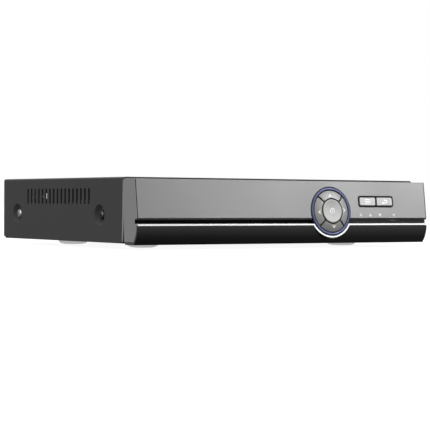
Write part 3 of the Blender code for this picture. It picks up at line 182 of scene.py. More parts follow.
def below(radius, level, count):
    """The lower arc of a circle about the ring's centre, from left to right, under a level line."""
    start = math.pi - math.asin(level / radius)
    return arc(radius, start, 3 * math.pi - start, count)


# ---------------------------------------------------------------- meshes


class Stock:
    """Stock at one place, built up shape by shape until it becomes an object."""

    def __init__(self, place=Matrix()):
        self.mesh = bmesh.new()
        self.place = place

    def at(self, place):
        """The shapes that follow stand at another place."""
        self.place = place
        return self

    def loft(self, rings, closed=False, top=True):
        """Skins rings with equal numbers of points, with flat caps unless the stack is closed."""
        rows = [[self.mesh.verts.new(self.place @ Vector(point)) for point in ring] for ring in rings]
        pairs = list(zip(rows, rows[1:] + rows[:1])) if closed else list(zip(rows, rows[1:]))
        faces = []
        for low, high in pairs:
            for i in range(len(low)):
                j = (i + 1) % len(low)
                faces.append(self.mesh.faces.new((low[i], low[j], high[j], high[i])))
        if not closed:
            faces.append(self.mesh.faces.new(rows[0]))
        if not closed and top:
            faces.append(self.mesh.faces.new(rows[-1]))
        bmesh.ops.recalc_face_normals(self.mesh, faces=faces)
        return rows

    def prism(self, outline, low, high):
        self.loft([[(x, y, z) for x, y in outline] for z in (low, high)])
        return self

    def block(self, low, high):
        size = [h - l for l, h in zip(low, high)]
        centre = [(l + h) / 2 for l, h in zip(low, high)]
        return self.prism(rectangle(size[0], size[1], centre[:2]), low[2], high[2])

    def turned(self, profile, count):
        """A solid of revolution about local z from (radius, height) pairs, with flat ends."""
        self.loft([[(x, y, z) for x, y in circle(radius, count)] for radius, z in profile])
        return self

    def ring(self, profile, count):
        """A solid of revolution about local z, whose profile is a closed outline off the axis."""
        self.loft([[(x, y, z) for x, y in circle(radius, count)] for radius, z in profile], closed=True)
        return self

    def both_sides(self, outline, inner, outer):
        """The same (Y, Z) outline at both sides of the case, between two distances from its middle."""
        self.place = ALONG_X
        for side in (-1, 1):
            self.prism(outline, *sorted((side * inner, side * outer)))
        return self

    def plate(self, outlines, low, high, edge, rounds=2):
        """Flat stock between two heights, its rims rounded by edge. Outlines inside others are holes."""
        curve = bpy.data.curves.new("outline", "CURVE")
        curve.dimensions = "2D"
        curve.fill_mode = "BOTH"
        for outline in outlines:
            spline = curve.splines.new("POLY")
            spline.points.add(len(outline) - 1)
            for point, (x, y) in zip(spline.points, outline):
                point.co = (x, y, 0, 1)
            spline.use_cyclic_u = True
        curve.extrude = (high - low) / 2 - edge
        curve.bevel_depth = edge
        curve.bevel_resolution = rounds
        curve.offset = -edge
        holder = bpy.data.objects.new("outline", curve)
        bpy.context.scene.collection.objects.link(holder)
        graph = bpy.context.evaluated_depsgraph_get()
        flat = bpy.data.meshes.new_from_object(holder.evaluated_get(graph))
        flat.transform(self.place @ Matrix.Translation((0, 0, (low + high) / 2)))
        self.mesh.from_mesh(flat)
        bmesh.ops.remove_doubles(self.mesh, verts=self.mesh.verts, dist=1e-7)
        bpy.data.objects.remove(holder)
        bpy.data.curves.remove(curve)
        bpy.data.meshes.remove(flat)
        return self

    def object(self, name):
        data = bpy.data.meshes.new(name)
        self.mesh.to_mesh(data)
        self.mesh.free()
        made = bpy.data.objects.new(name, data)
        bpy.context.scene.collection.objects.link(made)
        return made

    def piece(self, name, finish, body="case", replaces=(), slot=None):
        return piece(self.object(name), finish, body, replaces)


SHARP = math.radians(35)


def smooth(data):
    """Smooth shading, with the edges over a set angle kept sharp."""
    mesh = bmesh.new()
    mesh.from_mesh(data)
    for face in mesh.faces:
        face.smooth = True
    for edge in mesh.edges:
        edge.smooth = len(edge.link_faces) == 2 and edge.calc_face_angle(0) < SHARP
    mesh.to_mesh(data)
    mesh.free()


def changed(target, kind, **settings):
    """Adds a modifier to an object and turns it into its mesh at once."""
    modifier = target.modifiers.new("change", kind)
    for name, value in settings.items():
        setattr(modifier, name, value)
    graph = bpy.context.evaluated_depsgraph_get()
    data = bpy.data.meshes.new_from_object(target.evaluated_get(graph))
    target.modifiers.clear()
    target.data = data


def cut(target, stock, operation="DIFFERENCE"):
    helper = stock.object("helper")
    changed(target, "BOOLEAN", operation=operation, solver="EXACT", object=helper)
    bpy.data.objects.remove(helper)


def piece(target, finish, body="case", replaces=()):
    """Finishes a piece: shading, finish, the body that it rides on, and the nodes that it stands for.

    The finish is a material, or the name of one of the record's material slots. Weighted normals turn the
    shading along each rounded rim towards its broad face, so that flats stay flat.
    """
    smooth(target.data)
    changed(target, "WEIGHTED_NORMAL", keep_sharp=True)
    target.data.materials.clear()
    target.data.materials.append(FINISHES.get(finish, finish))
    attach(target, body)
    if replaces:
        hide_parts(*replaces)
    return target


# ---------------------------------------------------------------- materials


class Shader:
    """A material's node tree, with one short call per node."""

    def __init__(self, name):
        self.material = bpy.data.materials.new(name)
        self.material.use_nodes = True
        self.tree = self.material.node_tree
        self.main = self.tree.nodes["Principled BSDF"]
        where = self.node("ShaderNodeTexCoord")
        self.where = where.outputs["Object"]

    def node(self, kind, values=None, **settings):
        made = self.tree.nodes.new(kind)
        for key, value in settings.items():
            setattr(made, key, value)
        for key, value in (values or {}).items():
            self.set(made.inputs[key], value)
        return made

    def set(self, socket, value):
        if isinstance(value, bpy.types.NodeSocket):
            self.tree.links.new(value, socket)
        elif isinstance(value, tuple) and len(value) == 3 and socket.type == "RGBA":
            socket.default_value = (*value, 1.0)
        else:
            socket.default_value = value

    def noise(self, size, detail=2.0, where=None):
        """Noise with features about this many metres across."""
        values = {"Vector": where or self.where, "Scale": 1 / size, "Detail": detail}
        return self.node("ShaderNodeTexNoise", values).outputs["Fac"]

    def cells(self, size, feature="F1", output="Distance"):
        values = {"Vector": self.where, "Scale": 1 / size}
        return self.node("ShaderNodeTexVoronoi", values, feature=feature).outputs[output]

    def math(self, operation, a, b=0.0, clamp=False):
        made = self.node("ShaderNodeMath", operation=operation, use_clamp=clamp)
        self.set(made.inputs[0], a)
        self.set(made.inputs[1], b)
        return made.outputs[0]

    def ranged(self, value, low, high, from_low=0.0, from_high=1.0):
        values = {"Value": value, "From Min": from_low, "From Max": from_high, "To Min": low, "To Max": high}
        return self.node("ShaderNodeMapRange", values).outputs[0]

    def mix(self, share, a, b):
        made = self.node("ShaderNodeMix", data_type="RGBA")
        self.set(made.inputs[0], share)
        self.set(made.inputs[6], a)
        self.set(made.inputs[7], b)
        return made.outputs[2]

    def tone(self, share, colour, low, high):
        """The colour at one strength or the other, by the share."""
        return self.mix(share, scaled(colour, low), scaled(colour, high))

    def rounded_normal(self, radius):
        return self.node("ShaderNodeBevel", {"Radius": radius}, samples=4).outputs[0]

    def edge_mask(self, radius, gain=6.0):
        """Near 1 on outer and inner edges, 0 on flats."""
        flat = self.node("ShaderNodeNewGeometry").outputs["Normal"]
        bent = self.rounded_normal(radius)
        made = self.node("ShaderNodeVectorMath", operation="DOT_PRODUCT")
        self.set(made.inputs[0], flat)
        self.set(made.inputs[1], bent)
        return self.math("MULTIPLY", self.math("SUBTRACT", 1.0, made.outputs["Value"]), gain, clamp=True)

    def bump(self, height, strength, distance, normal=None):
        values = {"Height": height, "Strength": strength, "Distance": distance}
        if normal:
            values["Normal"] = normal
        return self.node("ShaderNodeBump", values).outputs[0]

    def done(self, **values):
        """Sets the shader's inputs by name, with _ for a space."""
        for key, value in values.items():
            self.set(self.main.inputs[key.replace("_", " ")], value)
        return self.material


def scaled(colour, factor):
    return tuple(channel * factor for channel in colour)


def moulded(name, colour, roughness, grain=0.25 * MM, relief=0.15, mottle=0.05, wear=0.25, **more):
    """Moulded or painted stock: faint colour drift, fine grain, uneven sheen and lighter, worn edges."""
    shader = Shader(name)
    broad = shader.noise(18 * MM, 3.0)
    fine = shader.noise(grain, 2.0)
    base = shader.tone(broad, colour, 1 - mottle, 1 + mottle)
    patchy = shader.math("MULTIPLY", shader.noise(3 * MM, 4.0), shader.edge_mask(0.25 * MM), clamp=True)
    base = shader.mix(shader.math("MULTIPLY", patchy, wear), base, scaled(colour, 2.2))
    sheen = shader.ranged(broad, roughness * 0.88, roughness * 1.12, 0.3, 0.7)
    normal = shader.bump(fine, relief, 0.02 * MM, shader.rounded_normal(0.12 * MM))
    return shader.done(Base_Color=base, Roughness=sheen, Normal=normal, **more)


def powder_coat(name, colour):
    """Fine-textured paint on sheet: orange peel over a finer grain, with a dry, even sheen."""
    shader = Shader(name)
    broad = shader.noise(35 * MM, 3.0)
    peel = shader.noise(0.9 * MM, 2.0)
    fine = shader.noise(0.22 * MM, 3.0)
    base = shader.tone(broad, colour, 0.95, 1.05)
    base = shader.mix(shader.ranged(fine, 0.0, 0.35, 0.45, 0.75), base, scaled(colour, 1.3))
    # Lighter in patches along the edges: paint rubbed thin.
    edge_wear_and_highlight = shader.math("MULTIPLY", shader.edge_mask(0.3 * MM), shader.noise(2 * MM, 4.0), clamp=True)
    base = shader.mix(shader.math("MULTIPLY", edge_wear_and_highlight, 0.3), base, scaled(colour, 2.5))
    height = shader.math("ADD", peel, shader.math("MULTIPLY", fine, 0.5))
    normal = shader.bump(height, 0.25, 0.03 * MM, shader.rounded_normal(0.15 * MM))
    sheen = shader.ranged(peel, 0.50, 0.62)
    return shader.done(Base_Color=base, Roughness=sheen, Normal=normal, Specular_IOR_Level=0.22)


def flaked(name, colour, roughness, metallic, coat):
    """Metallic lacquer: fine bright flakes in a grey base under a clear coat, with a painted highlight along
    every edge.
    """
    shader = Shader(name)
    flakes = shader.cells(0.11 * MM, output="Color")
    glint = shader.node("ShaderNodeSeparateColor", {"Color": flakes}).outputs[0]
    broad = shader.noise(40 * MM, 3.0)
    base = shader.tone(broad, colour, 0.97, 1.03)
    base = shader.mix(shader.ranged(glint, 0.0, 0.22, 0.5, 1.0), base, scaled(colour, 1.45))
    # Every edge lightened by the same share: a painted highlight along the rims.
    edge_wear_and_highlight = shader.math("MULTIPLY", shader.edge_mask(0.3 * MM), 0.35, clamp=True)
    base = shader.mix(edge_wear_and_highlight, base, scaled(colour, 1.6))
    sheen = shader.ranged(broad, roughness * 0.92, roughness * 1.08, 0.3, 0.7)
    normal = shader.bump(glint, 0.05, 0.01 * MM, shader.rounded_normal(0.15 * MM))
    shader.done(Coat_Weight=coat, Coat_Roughness=0.35)
    return shader.done(Base_Color=base, Roughness=sheen, Metallic=metallic, Normal=normal)


def gloss(name, colour, roughness=0.10, coat=0.6, glow=0.0):
    """Polished plastic with a trace of flow waviness and faint wiping marks. Any glow is painted light: these
    parts are no lamps.
    """
    shader = Shader(name)
    waves = shader.noise(14 * MM, 2.0)
    wipe = shader.noise(5 * MM, 6.0)
    base = shader.tone(waves, colour, 0.9, 1.1)
    sheen = shader.ranged(wipe, roughness * 0.7, roughness * 1.5, 0.35, 0.7)
    normal = shader.bump(waves, 0.06, 0.05 * MM, shader.rounded_normal(0.12 * MM))
    shader.done(Emission_Color=colour, Emission_Strength=glow)
    return shader.done(Base_Color=base, Roughness=sheen, Normal=normal, Coat_Weight=coat, Coat_Roughness=0.04)


def spun(name, colour, roughness, pitch=0.16 * MM):
    """Metal-look paint turned on a lathe: fine rings about the ring's centre and a streaky sheen, with a
    painted highlight to the left and right of the centre.
    """
    shader = Shader(name)
    local = shader.node("ShaderNodeMapping", {"Vector": shader.where}, vector_type="TEXTURE")
    local.inputs["Location"].default_value = ORIGIN
    local.inputs["Rotation"].default_value = FACE.to_euler()
    parts = shader.node("ShaderNodeSeparateXYZ", {"Vector": local.outputs[0]})
    flat = shader.node("ShaderNodeCombineXYZ", {"X": parts.outputs[0], "Y": parts.outputs[1]}).outputs[0]
    reach = shader.node("ShaderNodeVectorMath", operation="LENGTH")
    shader.set(reach.inputs[0], flat)
    rings = shader.math("SINE", shader.math("MULTIPLY", reach.outputs["Value"], 2 * math.pi / pitch))
    values = {"W": reach.outputs["Value"], "Scale": 1 / (0.5 * MM), "Detail": 3.0}
    streak = shader.node("ShaderNodeTexNoise", values, noise_dimensions="1D")
    angle = shader.math("ARCTAN2", parts.outputs[1], parts.outputs[0])
    # Painted highlight: the bow-tie reflection of spun metal, lighter to the left and right.
    fan = shader.math("COSINE", shader.math("MULTIPLY", angle, 2.0))
    base = shader.tone(streak.outputs["Fac"], colour, 0.88, 1.12)
    base = shader.mix(shader.ranged(fan, 0.0, 0.18, -1.0, 1.0), base, scaled(colour, 1.5))
    normal = shader.bump(rings, 0.18, 0.01 * MM, shader.rounded_normal(0.12 * MM))
    sheen = shader.ranged(streak.outputs["Fac"], roughness * 0.85, roughness * 1.2, 0.3, 0.7)
    return shader.done(Base_Color=base, Roughness=sheen, Metallic=0.55, Normal=normal)


def plated(name, colour, roughness, scratch=0.12):
    """Plated metal: mirror-like with short scratches and tarnish in patches."""
    shader = Shader(name)
    stretched = shader.node("ShaderNodeMapping", {"Vector": shader.where, "Scale": (1, 14, 1)}).outputs[0]
    fine = shader.noise(0.25 * MM, 3.0, stretched)
    tarnish = shader.noise(4 * MM, 4.0)
    base = shader.mix(shader.ranged(tarnish, 0, 1, 0.35, 0.75), colour, scaled(colour, 0.72))
    sheen = shader.ranged(tarnish, roughness * 0.7, roughness * 1.5, 0.35, 0.7)
    normal = shader.bump(fine, scratch, 0.01 * MM, shader.rounded_normal(0.1 * MM))
    return shader.done(Base_Color=base, Roughness=sheen, Metallic=1.0, Normal=normal)


def cast(name, colour):
    """Die-cast aluminium: pitted skin and cloudy tone."""
    shader = Shader(name)
    pits = shader.cells(0.5 * MM)
    cloud = shader.noise(9 * MM, 5.0)
    base = shader.tone(cloud, colour, 0.8, 1.15)
    normal = shader.bump(pits, 0.2, 0.05 * MM, shader.rounded_normal(0.3 * MM))
    sheen = shader.ranged(cloud, 0.38, 0.55)
    return shader.done(Base_Color=base, Roughness=sheen, Metallic=0.85, Normal=normal)


def soft_rubber(name, colour, glow):
    """Cloudy, slightly see-through rubber. Its glow is the light that the pale table sends up into it."""
    shader = Shader(name)
    cloud = shader.noise(2.5 * MM, 4.0)
    fine = shader.noise(0.3 * MM, 2.0)
    base = shader.tone(cloud, colour, 0.9, 1.08)
    normal = shader.bump(fine, 0.1, 0.02 * MM)
    return shader.done(
        Base_Color=base,
        Roughness=shader.ranged(cloud, 0.32, 0.5),
        Normal=normal,
        Subsurface_Weight=0.5,
        Subsurface_Scale=2 * MM,
        Subsurface_Radius=(1.0, 1.0, 1.0),
        Emission_Color=colour,
        Emission_Strength=glow,
    )


def solder_mask(name, colour):
    """Circuit board: mask over tracks, with a brighter track tone, vias and bare pads."""
    shader = Shader(name)
    grid = shader.node("ShaderNodeTexBrick", {"Vector": shader.where, "Scale": 1 / (7 * MM)}, offset=0.37)
    grid.inputs["Mortar Size"].default_value = 0.03
    shades = {"Color1": (0.2, 0.2, 0.2), "Color2": (0.7, 0.7, 0.7), "Mortar": (1.0, 1.0, 1.0)}
    for name_in, value in shades.items():
        shader.set(grid.inputs[name_in], value)
    vias = shader.math("LESS_THAN", shader.cells(2.3 * MM), 0.12)
    tracks = shader.ranged(grid.outputs["Fac"], 0.0, 0.7)
    base = shader.mix(tracks, colour, scaled(colour, 1.9))
    base = shader.mix(vias, base, (0.55, 0.45, 0.22))
    normal = shader.bump(grid.outputs["Fac"], 0.3, 0.03 * MM, shader.rounded_normal(0.1 * MM))
    sheen = shader.ranged(shader.noise(6 * MM), 0.3, 0.45)
    return shader.done(Base_Color=base, Roughness=sheen, Normal=normal)


def sleeve(name, colour):
    """Ribbed or woven cable jacket."""
    shader = Shader(name)
    values = {"Vector": shader.where, "Scale": 1 / (4 * MM), "Distortion": 0.6}
    weave = shader.node("ShaderNodeTexWave", values)
    cloud = shader.noise(5 * MM, 3.0)
    base = shader.tone(cloud, colour, 0.85, 1.15)
    normal = shader.bump(weave.outputs["Fac"], 0.25, 0.08 * MM, shader.rounded_normal(0.15 * MM))
    return shader.done(Base_Color=base, Roughness=shader.ranged(cloud, 0.45, 0.6), Normal=normal)


def lamp(name, colour, glow):
    """Tinted lamp body, lit a little from inside."""
    shader = Shader(name)
    cloud = shader.noise(1.2 * MM, 2.0)
    base = shader.tone(cloud, colour, 0.85, 1.1)
    return shader.done(
        Base_Color=base,
        Roughness=shader.ranged(cloud, 0.12, 0.2),
        Transmission_Weight=0.3,
        Emission_Color=colour,
        Emission_Strength=glow,
    )


def ink(name, colour, glow=0.0):
    """Screen-printed ink: thin, a little speckled and uneven. A glow keeps it as light as the table."""
    shader = Shader(name)
    speckle = shader.noise(0.12 * MM, 3.0)
    cloud = shader.noise(2 * MM, 2.0)
    base = shader.mix(speckle, scaled(colour, 0.86), colour)
    normal = shader.bump(speckle, 0.15, 0.01 * MM)
    shader.done(Emission_Color=colour, Emission_Strength=glow)
    return shader.done(Base_Color=base, Roughness=shader.ranged(cloud, 0.35, 0.5), Normal=normal)


def smoked(name):
    """Smoked window: nearly black, with a red-brown depth."""
    shader = Shader(name)
    cloud = shader.noise(8 * MM, 2.0)
    base = shader.mix(cloud, (0.006, 0.005, 0.006), (0.014, 0.009, 0.010))
    sheen = shader.ranged(shader.noise(4 * MM, 5.0), 0.05, 0.12)
    return shader.done(Base_Color=base, Roughness=sheen, Coat_Weight=0.7, Coat_Roughness=0.03)


FINISHES = {
    "painted_steel": powder_coat("powder_coat", (0.056, 0.056, 0.057)),
    "zinc_steel": plated("zinc", (0.62, 0.61, 0.58), 0.32),
    "grey_panel": flaked("grey_lacquer", (0.305, 0.305, 0.308), 0.44, 0.30, 0.10),
    "black_gloss": gloss("piano_black", (0.010, 0.010, 0.011)),
    "black_matt": moulded("black_moulding", (0.011, 0.011, 0.012), 0.5),
    # The trim's glow is painted light that keeps the white band bright.
    "white_trim": gloss("bright_trim", (0.92, 0.92, 0.93), 0.14, glow=0.40),
    "smoked_lens": smoked("smoked_window"),
    "blue_ring": flaked("blue_lacquer", (0.058, 0.076, 0.195), 0.28, 0.35, 0.4),
    "silver_key": spun("spun_silver", (0.34, 0.34, 0.335), 0.42),
    "light_key": flaked("grey_key_lacquer", (0.47, 0.47, 0.462), 0.36, 0.2, 0.2),
    "clear_rubber": soft_rubber("cloudy_rubber", (0.80, 0.80, 0.80), 0.36),
    "green_board": solder_mask("solder_mask", (0.015, 0.10, 0.045)),
    "connector_metal": plated("nickel", (0.66, 0.65, 0.62), 0.24),
    "connector_black": moulded("socket_black", (0.022, 0.022, 0.022), 0.42),
    "cast_aluminium": cast("cast_aluminium", (0.48, 0.49, 0.50)),
    "lamp_red": lamp("red_lamp", (0.55, 0.03, 0.02), 0.1),
    "lamp_green": lamp("green_lamp", (0.05, 0.45, 0.08), 0.2),
    "cable_grey": sleeve("grey_jacket", (0.40, 0.40, 0.42)),
    "cable_red": sleeve("red_jacket", (0.42, 0.03, 0.03)),
}
WHITE_INK = ink("white_ink", (0.86, 0.86, 0.85), 0.30)
PALE_INK = ink("pale_yellow_ink", (0.86, 0.87, 0.68), 0.30)
FASCIA_BLACK = gloss("fascia_black", (0.006, 0.006, 0.0065), coat=1.0)
DULL_BLACK = moulded("dull_black", (0.005, 0.005, 0.005), 0.45, wear=0.0, Specular_IOR_Level=0.15)
RECESS_BLACK = moulded("recess_black", (0.0015, 0.0015, 0.0015), 0.6, wear=0.0, Specular_IOR_Level=0.05)
# Lighter than the other blacks: a painted reflection of the light from below on the downward chamfer.
CHAMFER_BLACK = moulded("chamfer_black", (0.030, 0.030, 0.031), 0.35, wear=0.1)
GOLD = plated("gold_contact", (0.85, 0.62, 0.25), 0.22)
IVORY = moulded("ivory_insulator", (0.72, 0.70, 0.63), 0.45)
BLACK_OXIDE = plated("black_oxide", (0.10, 0.10, 0.10), 0.30)
LABEL = moulded("label_film", (0.70, 0.70, 0.68), 0.40, relief=0.05, wear=0.0)
CHIP = moulded("chip_epoxy", (0.020, 0.020, 0.021), 0.55, grain=0.15 * MM, relief=0.3)
YELLOW = moulded("yellow_insert", (0.72, 0.48, 0.03), 0.40)
RED = moulded("red_insert", (0.50, 0.03, 0.02), 0.40)
BLUE = moulded("blue_insert", (0.03, 0.09, 0.38), 0.40)
# Near-black navy for the ring's outer rim: painted shade on its outer slope.
PAINTED_SHADE_NAVY = gloss("ring_rim_painted_shade", (0.010, 0.011, 0.024))


def dress_cad_nodes():
    """Every CAD node gets the finish of its slot. Some are then replaced by finer pieces."""
    for part in frame["record"]["subparts"]:
        for slot in NODES[part["node"]].material_slots:
            slot.material = FINISHES[part["material_slot"]]


# ---------------------------------------------------------------- steel case

SLOTS = 17
SLOT_PITCH = 6.0 * MM
SLOT_W = 2.5 * MM
SLOT_FIRST = 49.4 * MM
SLOT_Z = (26.6 * MM, 38.2 * MM)
DIMPLE_R = 7.3 * MM
DIMPLE_FLOOR_R = 4.8 * MM
DIMPLE_DEPTH = 3.0 * MM
DIMPLE_RIM = 0.5 * MM
SCREW_HOLE_R = 1.8 * MM
BEND = 1.6 * MM
EDGE_BACK = (2.8 * MM, 1.6 * MM)  # how far behind the case's front the sides start, at the bottom and the top
NOTCH_L, NOTCH_H = 7.0 * MM, 1.0 * MM
SIDES = ((-1, "left"), (1, "right"))


def side_screws():
    """Name and centre of each side screw, with the side that it is on."""
    for side, side_name in SIDES:
        for end in ("front", "rear"):
            name = f"side_screw_{side_name}_{end}"
            yield name, side, middle_of(name)


def into_side(side, centre):
    """Local z points into the case from one side's outer surface."""
    turn = Matrix.Rotation(-side * math.pi / 2, 4, "Y")
    return Matrix.Translation((side * HALF_W, centre.y, centre.z)) @ turn


def side_edge(lead, z):
    """(Y, Z) of the leaning front edge of the cover's sides at a height, moved forward by lead."""
    share = (z - FLOOR_Z) / (TOP_Z - FLOOR_Z)
    return FRONT_Y + EDGE_BACK[0] + (EDGE_BACK[1] - EDGE_BACK[0]) * share - lead, z


def cover_shell():
    """The folded sheet with its punched slots, leaning front edges and rear notches."""
    outline = []
    for depth in (0.0, SHEET):
        bend = arc(BEND - depth, math.pi, math.pi / 2, 8, (BEND - HALF_W, TOP_Z - BEND))
        line = [(depth - HALF_W, COVER_LOW.z), *bend]
        line += [(-x, z) for x, z in reversed(line)]
        outline += line[::-1] if depth else line
    shell = Stock(Matrix.Rotation(math.pi / 2, 4, "X")).prism(outline, -REAR_Y, -FRONT_Y).object("cover")
    openings = Stock()
    reach = (HALF_W - 1.5 * MM, HALF_W + MM)
    for i in range(SLOTS):
        centre = (FRONT_Y + SLOT_FIRST + i * SLOT_PITCH, FLOOR_Z + sum(SLOT_Z) / 2)
        slot = rounded_rectangle(SLOT_W, SLOT_Z[1] - SLOT_Z[0], SLOT_W * 0.42, centre, 4)
        openings.both_sides(slot, *reach)
    front, top = FRONT_Y - MM, TOP_Z - BEND
    wedge = [(front, FLOOR_Z - MM), side_edge(0, FLOOR_Z - MM), side_edge(0, top), (front, top)]
    openings.both_sides(wedge, *reach)
    openings.both_sides(rectangle(2 * NOTCH_L, 2 * NOTCH_H, (REAR_Y, COVER_LOW.z)), *reach)
    cut(shell, openings)
    return shell


def cover():
    """The folded top with its pressed screw dimples."""
    shell = cover_shell()
    bosses, recesses, holes = Stock(), Stock(), Stock()
    rim_at = DIMPLE_R + DIMPLE_RIM / 2
    slope = math.atan2(DIMPLE_DEPTH, DIMPLE_R - DIMPLE_FLOOR_R)
    turns = steps(0.12, slope, 6)
    roll = [(rim_at - DIMPLE_RIM * math.sin(a), DIMPLE_RIM * (1 - math.cos(a))) for a in turns]
    profile = [(roll[0][0] + 0.2 * MM, -0.5 * MM), *roll]
    profile.append((DIMPLE_FLOOR_R + 0.25 * MM, DIMPLE_DEPTH - 0.2 * MM))
    profile.append((DIMPLE_FLOOR_R - 0.15 * MM, DIMPLE_DEPTH))
    back = [(DIMPLE_R + 0.9 * MM, SHEET / 2), (DIMPLE_FLOOR_R + 1.1 * MM, DIMPLE_DEPTH + SHEET)]
    for _, side, centre in side_screws():
        place = into_side(side, centre)
        bosses.at(place).turned(back, 64)
        recesses.at(place).turned(profile, 64)
        holes.at(place).turned([(SCREW_HOLE_R, DIMPLE_DEPTH - MM), (SCREW_HOLE_R, DIMPLE_DEPTH + 3 * MM)], 24)
    cut(shell, bosses, "UNION")
    cut(shell, recesses)
    cut(shell, holes)
    piece(shell, "painted_steel", replaces=["top_cover"])


HEAD_R, HEAD_H = 3.4 * MM, 2.0 * MM
SHANK, SHANK_R, THREAD, THREAD_DEPTH = 6 * MM, 1.5 * MM, 0.5 * MM, 0.25 * MM


def screw(name, place, finish):
    """A pan-head screw with a cross recess. Its head's underside is at local z 0, and it points along +z."""
    crown = [(HEAD_R * math.sin(a), -HEAD_H + HEAD_H * 0.75 * (1 - math.cos(a))) for a in steps(0.25, 1.5, 7)]
    profile = [*crown, (HEAD_R, -0.25 * MM), (HEAD_R - 0.2 * MM, 0), (SHANK_R, 0)]
    for i in range(round(SHANK / THREAD)):
        z = 0.3 * MM + i * THREAD
        profile += [(SHANK_R, z), (SHANK_R - THREAD_DEPTH, z + THREAD / 2)]
    made = Stock(place).turned(profile, 32).object(f"{name}_fine")
    arm, half = HEAD_R * 0.58, 0.38 * MM
    mouth, foot = rectangle(2 * arm, 2 * half), rectangle(2 * arm * 0.45, 2 * half * 0.8)
    for turn in (0, math.pi / 2):
        drive = Stock(place @ Matrix.Rotation(turn + 0.5, 4, "Z"))
        ends = ((mouth, -HEAD_H - MM), (foot, -HEAD_H * 0.30))
        drive.loft([[(x, y, z) for x, y in outline] for outline, z in ends])
        cut(made, drive)
    changed(made, "BEVEL", width=0.06 * MM, segments=2, limit_method="ANGLE", angle_limit=math.radians(50))
    piece(made, finish, replaces=[name])


def case_screws():
    for name, side, centre in side_screws():
        seat = into_side(side, centre) @ Matrix.Translation((0, 0, DIMPLE_DEPTH - GAP))
        screw(name, seat, BLACK_OXIDE if name.endswith("front") else "zinc_steel")
    for name in ("rear_screw_left", "rear_screw_right"):
        middle = middle_of(name)
        seat = Matrix.Translation((middle.x, REAR_Y + GAP, middle.z)) @ Matrix.Rotation(math.pi / 2, 4, "X")
        screw(name, seat, "zinc_steel")


FOOT_FLAT, FOOT_RISE = 0.46, 0.66  # of a foot's radius and height: its worn flat, and where its dome ends


def feet():
    """Domed feet, worn flat where they touch the table."""
    for name in (f"foot_{end}_{side_name}" for end in ("front", "rear") for _, side_name in SIDES):
        low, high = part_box(name)
        radius, height = (high.x - low.x) / 2, high.z - low.z
        flat, rise = radius * FOOT_FLAT, height * FOOT_RISE
        turns = steps(0, math.pi / 2, 12)
        dome = [(flat + (radius - flat) * math.sin(a), rise * (1 - math.cos(a))) for a in turns]
        place = Matrix.Translation((*middle_of(name).xy, low.z))
        foot = Stock(place).turned([(flat - 0.4 * MM, 0.0), *dome, (radius, height)], 64)
        foot.piece(f"{name}_fine", "clear_rubber", replaces=[name])


# ---------------------------------------------------------------- front panel

GROOVE_LOW_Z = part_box("groove_strip")[0].z - GAP
GROOVE_TOP_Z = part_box("groove_strip")[1].z + GAP
GROOVE_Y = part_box("groove_strip")[1].y + GAP
FASCIA_LOW, FASCIA_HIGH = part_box("lower_fascia")
FASCIA_T = 1.2 * MM
SEAT_R = RING_R + GAP
SEAT_CUT_R = SEAT_R + 0.1 * MM
TRIM_POINTS = [point - PAD for point in facewise("trim_strip")]
TRIM_END = [point.y for point in TRIM_POINTS if point.x < -RING_R * 3]
TRIM_LOW_V, TRIM_TOP_V = min(TRIM_END), max(TRIM_END)
TRIM_OUT_R = max(math.hypot(point.x, point.y) for point in TRIM_POINTS if point.y < TRIM_LOW_V - MM)
TRIM_SHY = 0.08 * MM  # how far the visible band keeps inside the moulding that carries it
SEAM_W = 0.6 * MM
SEAM_IN = 0.5 * MM  # from the end of the panel to the seam's middle
WALL = 2.2 * MM
PANEL_REAR = FRONT_Y - GAP
PANEL_LOW = FASCIA_LOW.z + 1.9 * MM
JOINT_TOP = FLOOR_Z + (TOP_Z - FLOOR_Z) * 0.42  # where the panel's sides start to stand away from the case
JOINT_DEPTH = 1.3 * MM
JOINT_OUT, JOINT_BACK = 0.6 * MM, 1.3 * MM  # how far each edge of that joint falls away by the bottom
FRAME_LOW, FRAME_HIGH = on_pad("key_frame")
FRAME_MIDDLE = ((FRAME_LOW + FRAME_HIGH) / 2).xy
FRAME_SIZE = (FRAME_HIGH - FRAME_LOW).xy
FRAME_CORNER = 1.9 * MM


def face_edges():
    """How far the face's flat reaches down and up from the ring's centre."""
    flat = [point.y - PAD.y for point in facewise("front_bezel") if point.z > FACE_N - 0.01 * MM]
    return min(flat), max(flat)


FACE_DOWN, FACE_UP = face_edges()
FACE_MIDDLE, FACE_HEIGHT = (FACE_UP + FACE_DOWN) / 2, FACE_UP - FACE_DOWN
FACE_FOOT = face_yz(FACE_DOWN + 0.5 * MM)  # (Y, Z) of the lower end of the flat


def across(outline, half_width, edge):
    """Stock along X with a (Y, Z) outline and rounded rims at both ends."""
    return Stock(ALONG_X).plate([outline], -half_width, half_width, edge)


def seat_cutter(radius):
    """A round cutter about the ring's axis, deep enough to pass through the panel."""
    return Stock(FACE).prism(circle(radius, 96), -13 * MM, 4 * MM)


def seam_rectangle(side, width, height, rise=0.0):
    x = side * (HALF_W - SEAM_IN) - ORIGIN.x
    return rectangle(width, height, (x, FACE_MIDDLE + rise))


def fascia_curve(inset, low_z, count=24):
    """The fascia's front curve, or one behind it, from its top edge down to a height, as (Y, Z)."""
    points = [vertex.co for vertex in NODES["lower_fascia"].data.vertices]
    depth = min(point.y for point in points if point.z < FASCIA_LOW.z + 0.01 * MM) - FASCIA_LOW.y
    height = FASCIA_HIGH.z - FASCIA_LOW.z
    full = (depth**2 + height**2) / (2 * depth)
    centre = (FASCIA_LOW.y + full, FASCIA_HIGH.z)
    radius = full - inset
    last = math.asin((centre[1] - low_z) / radius)
    return arc(radius, math.pi, math.pi + last, count, centre)


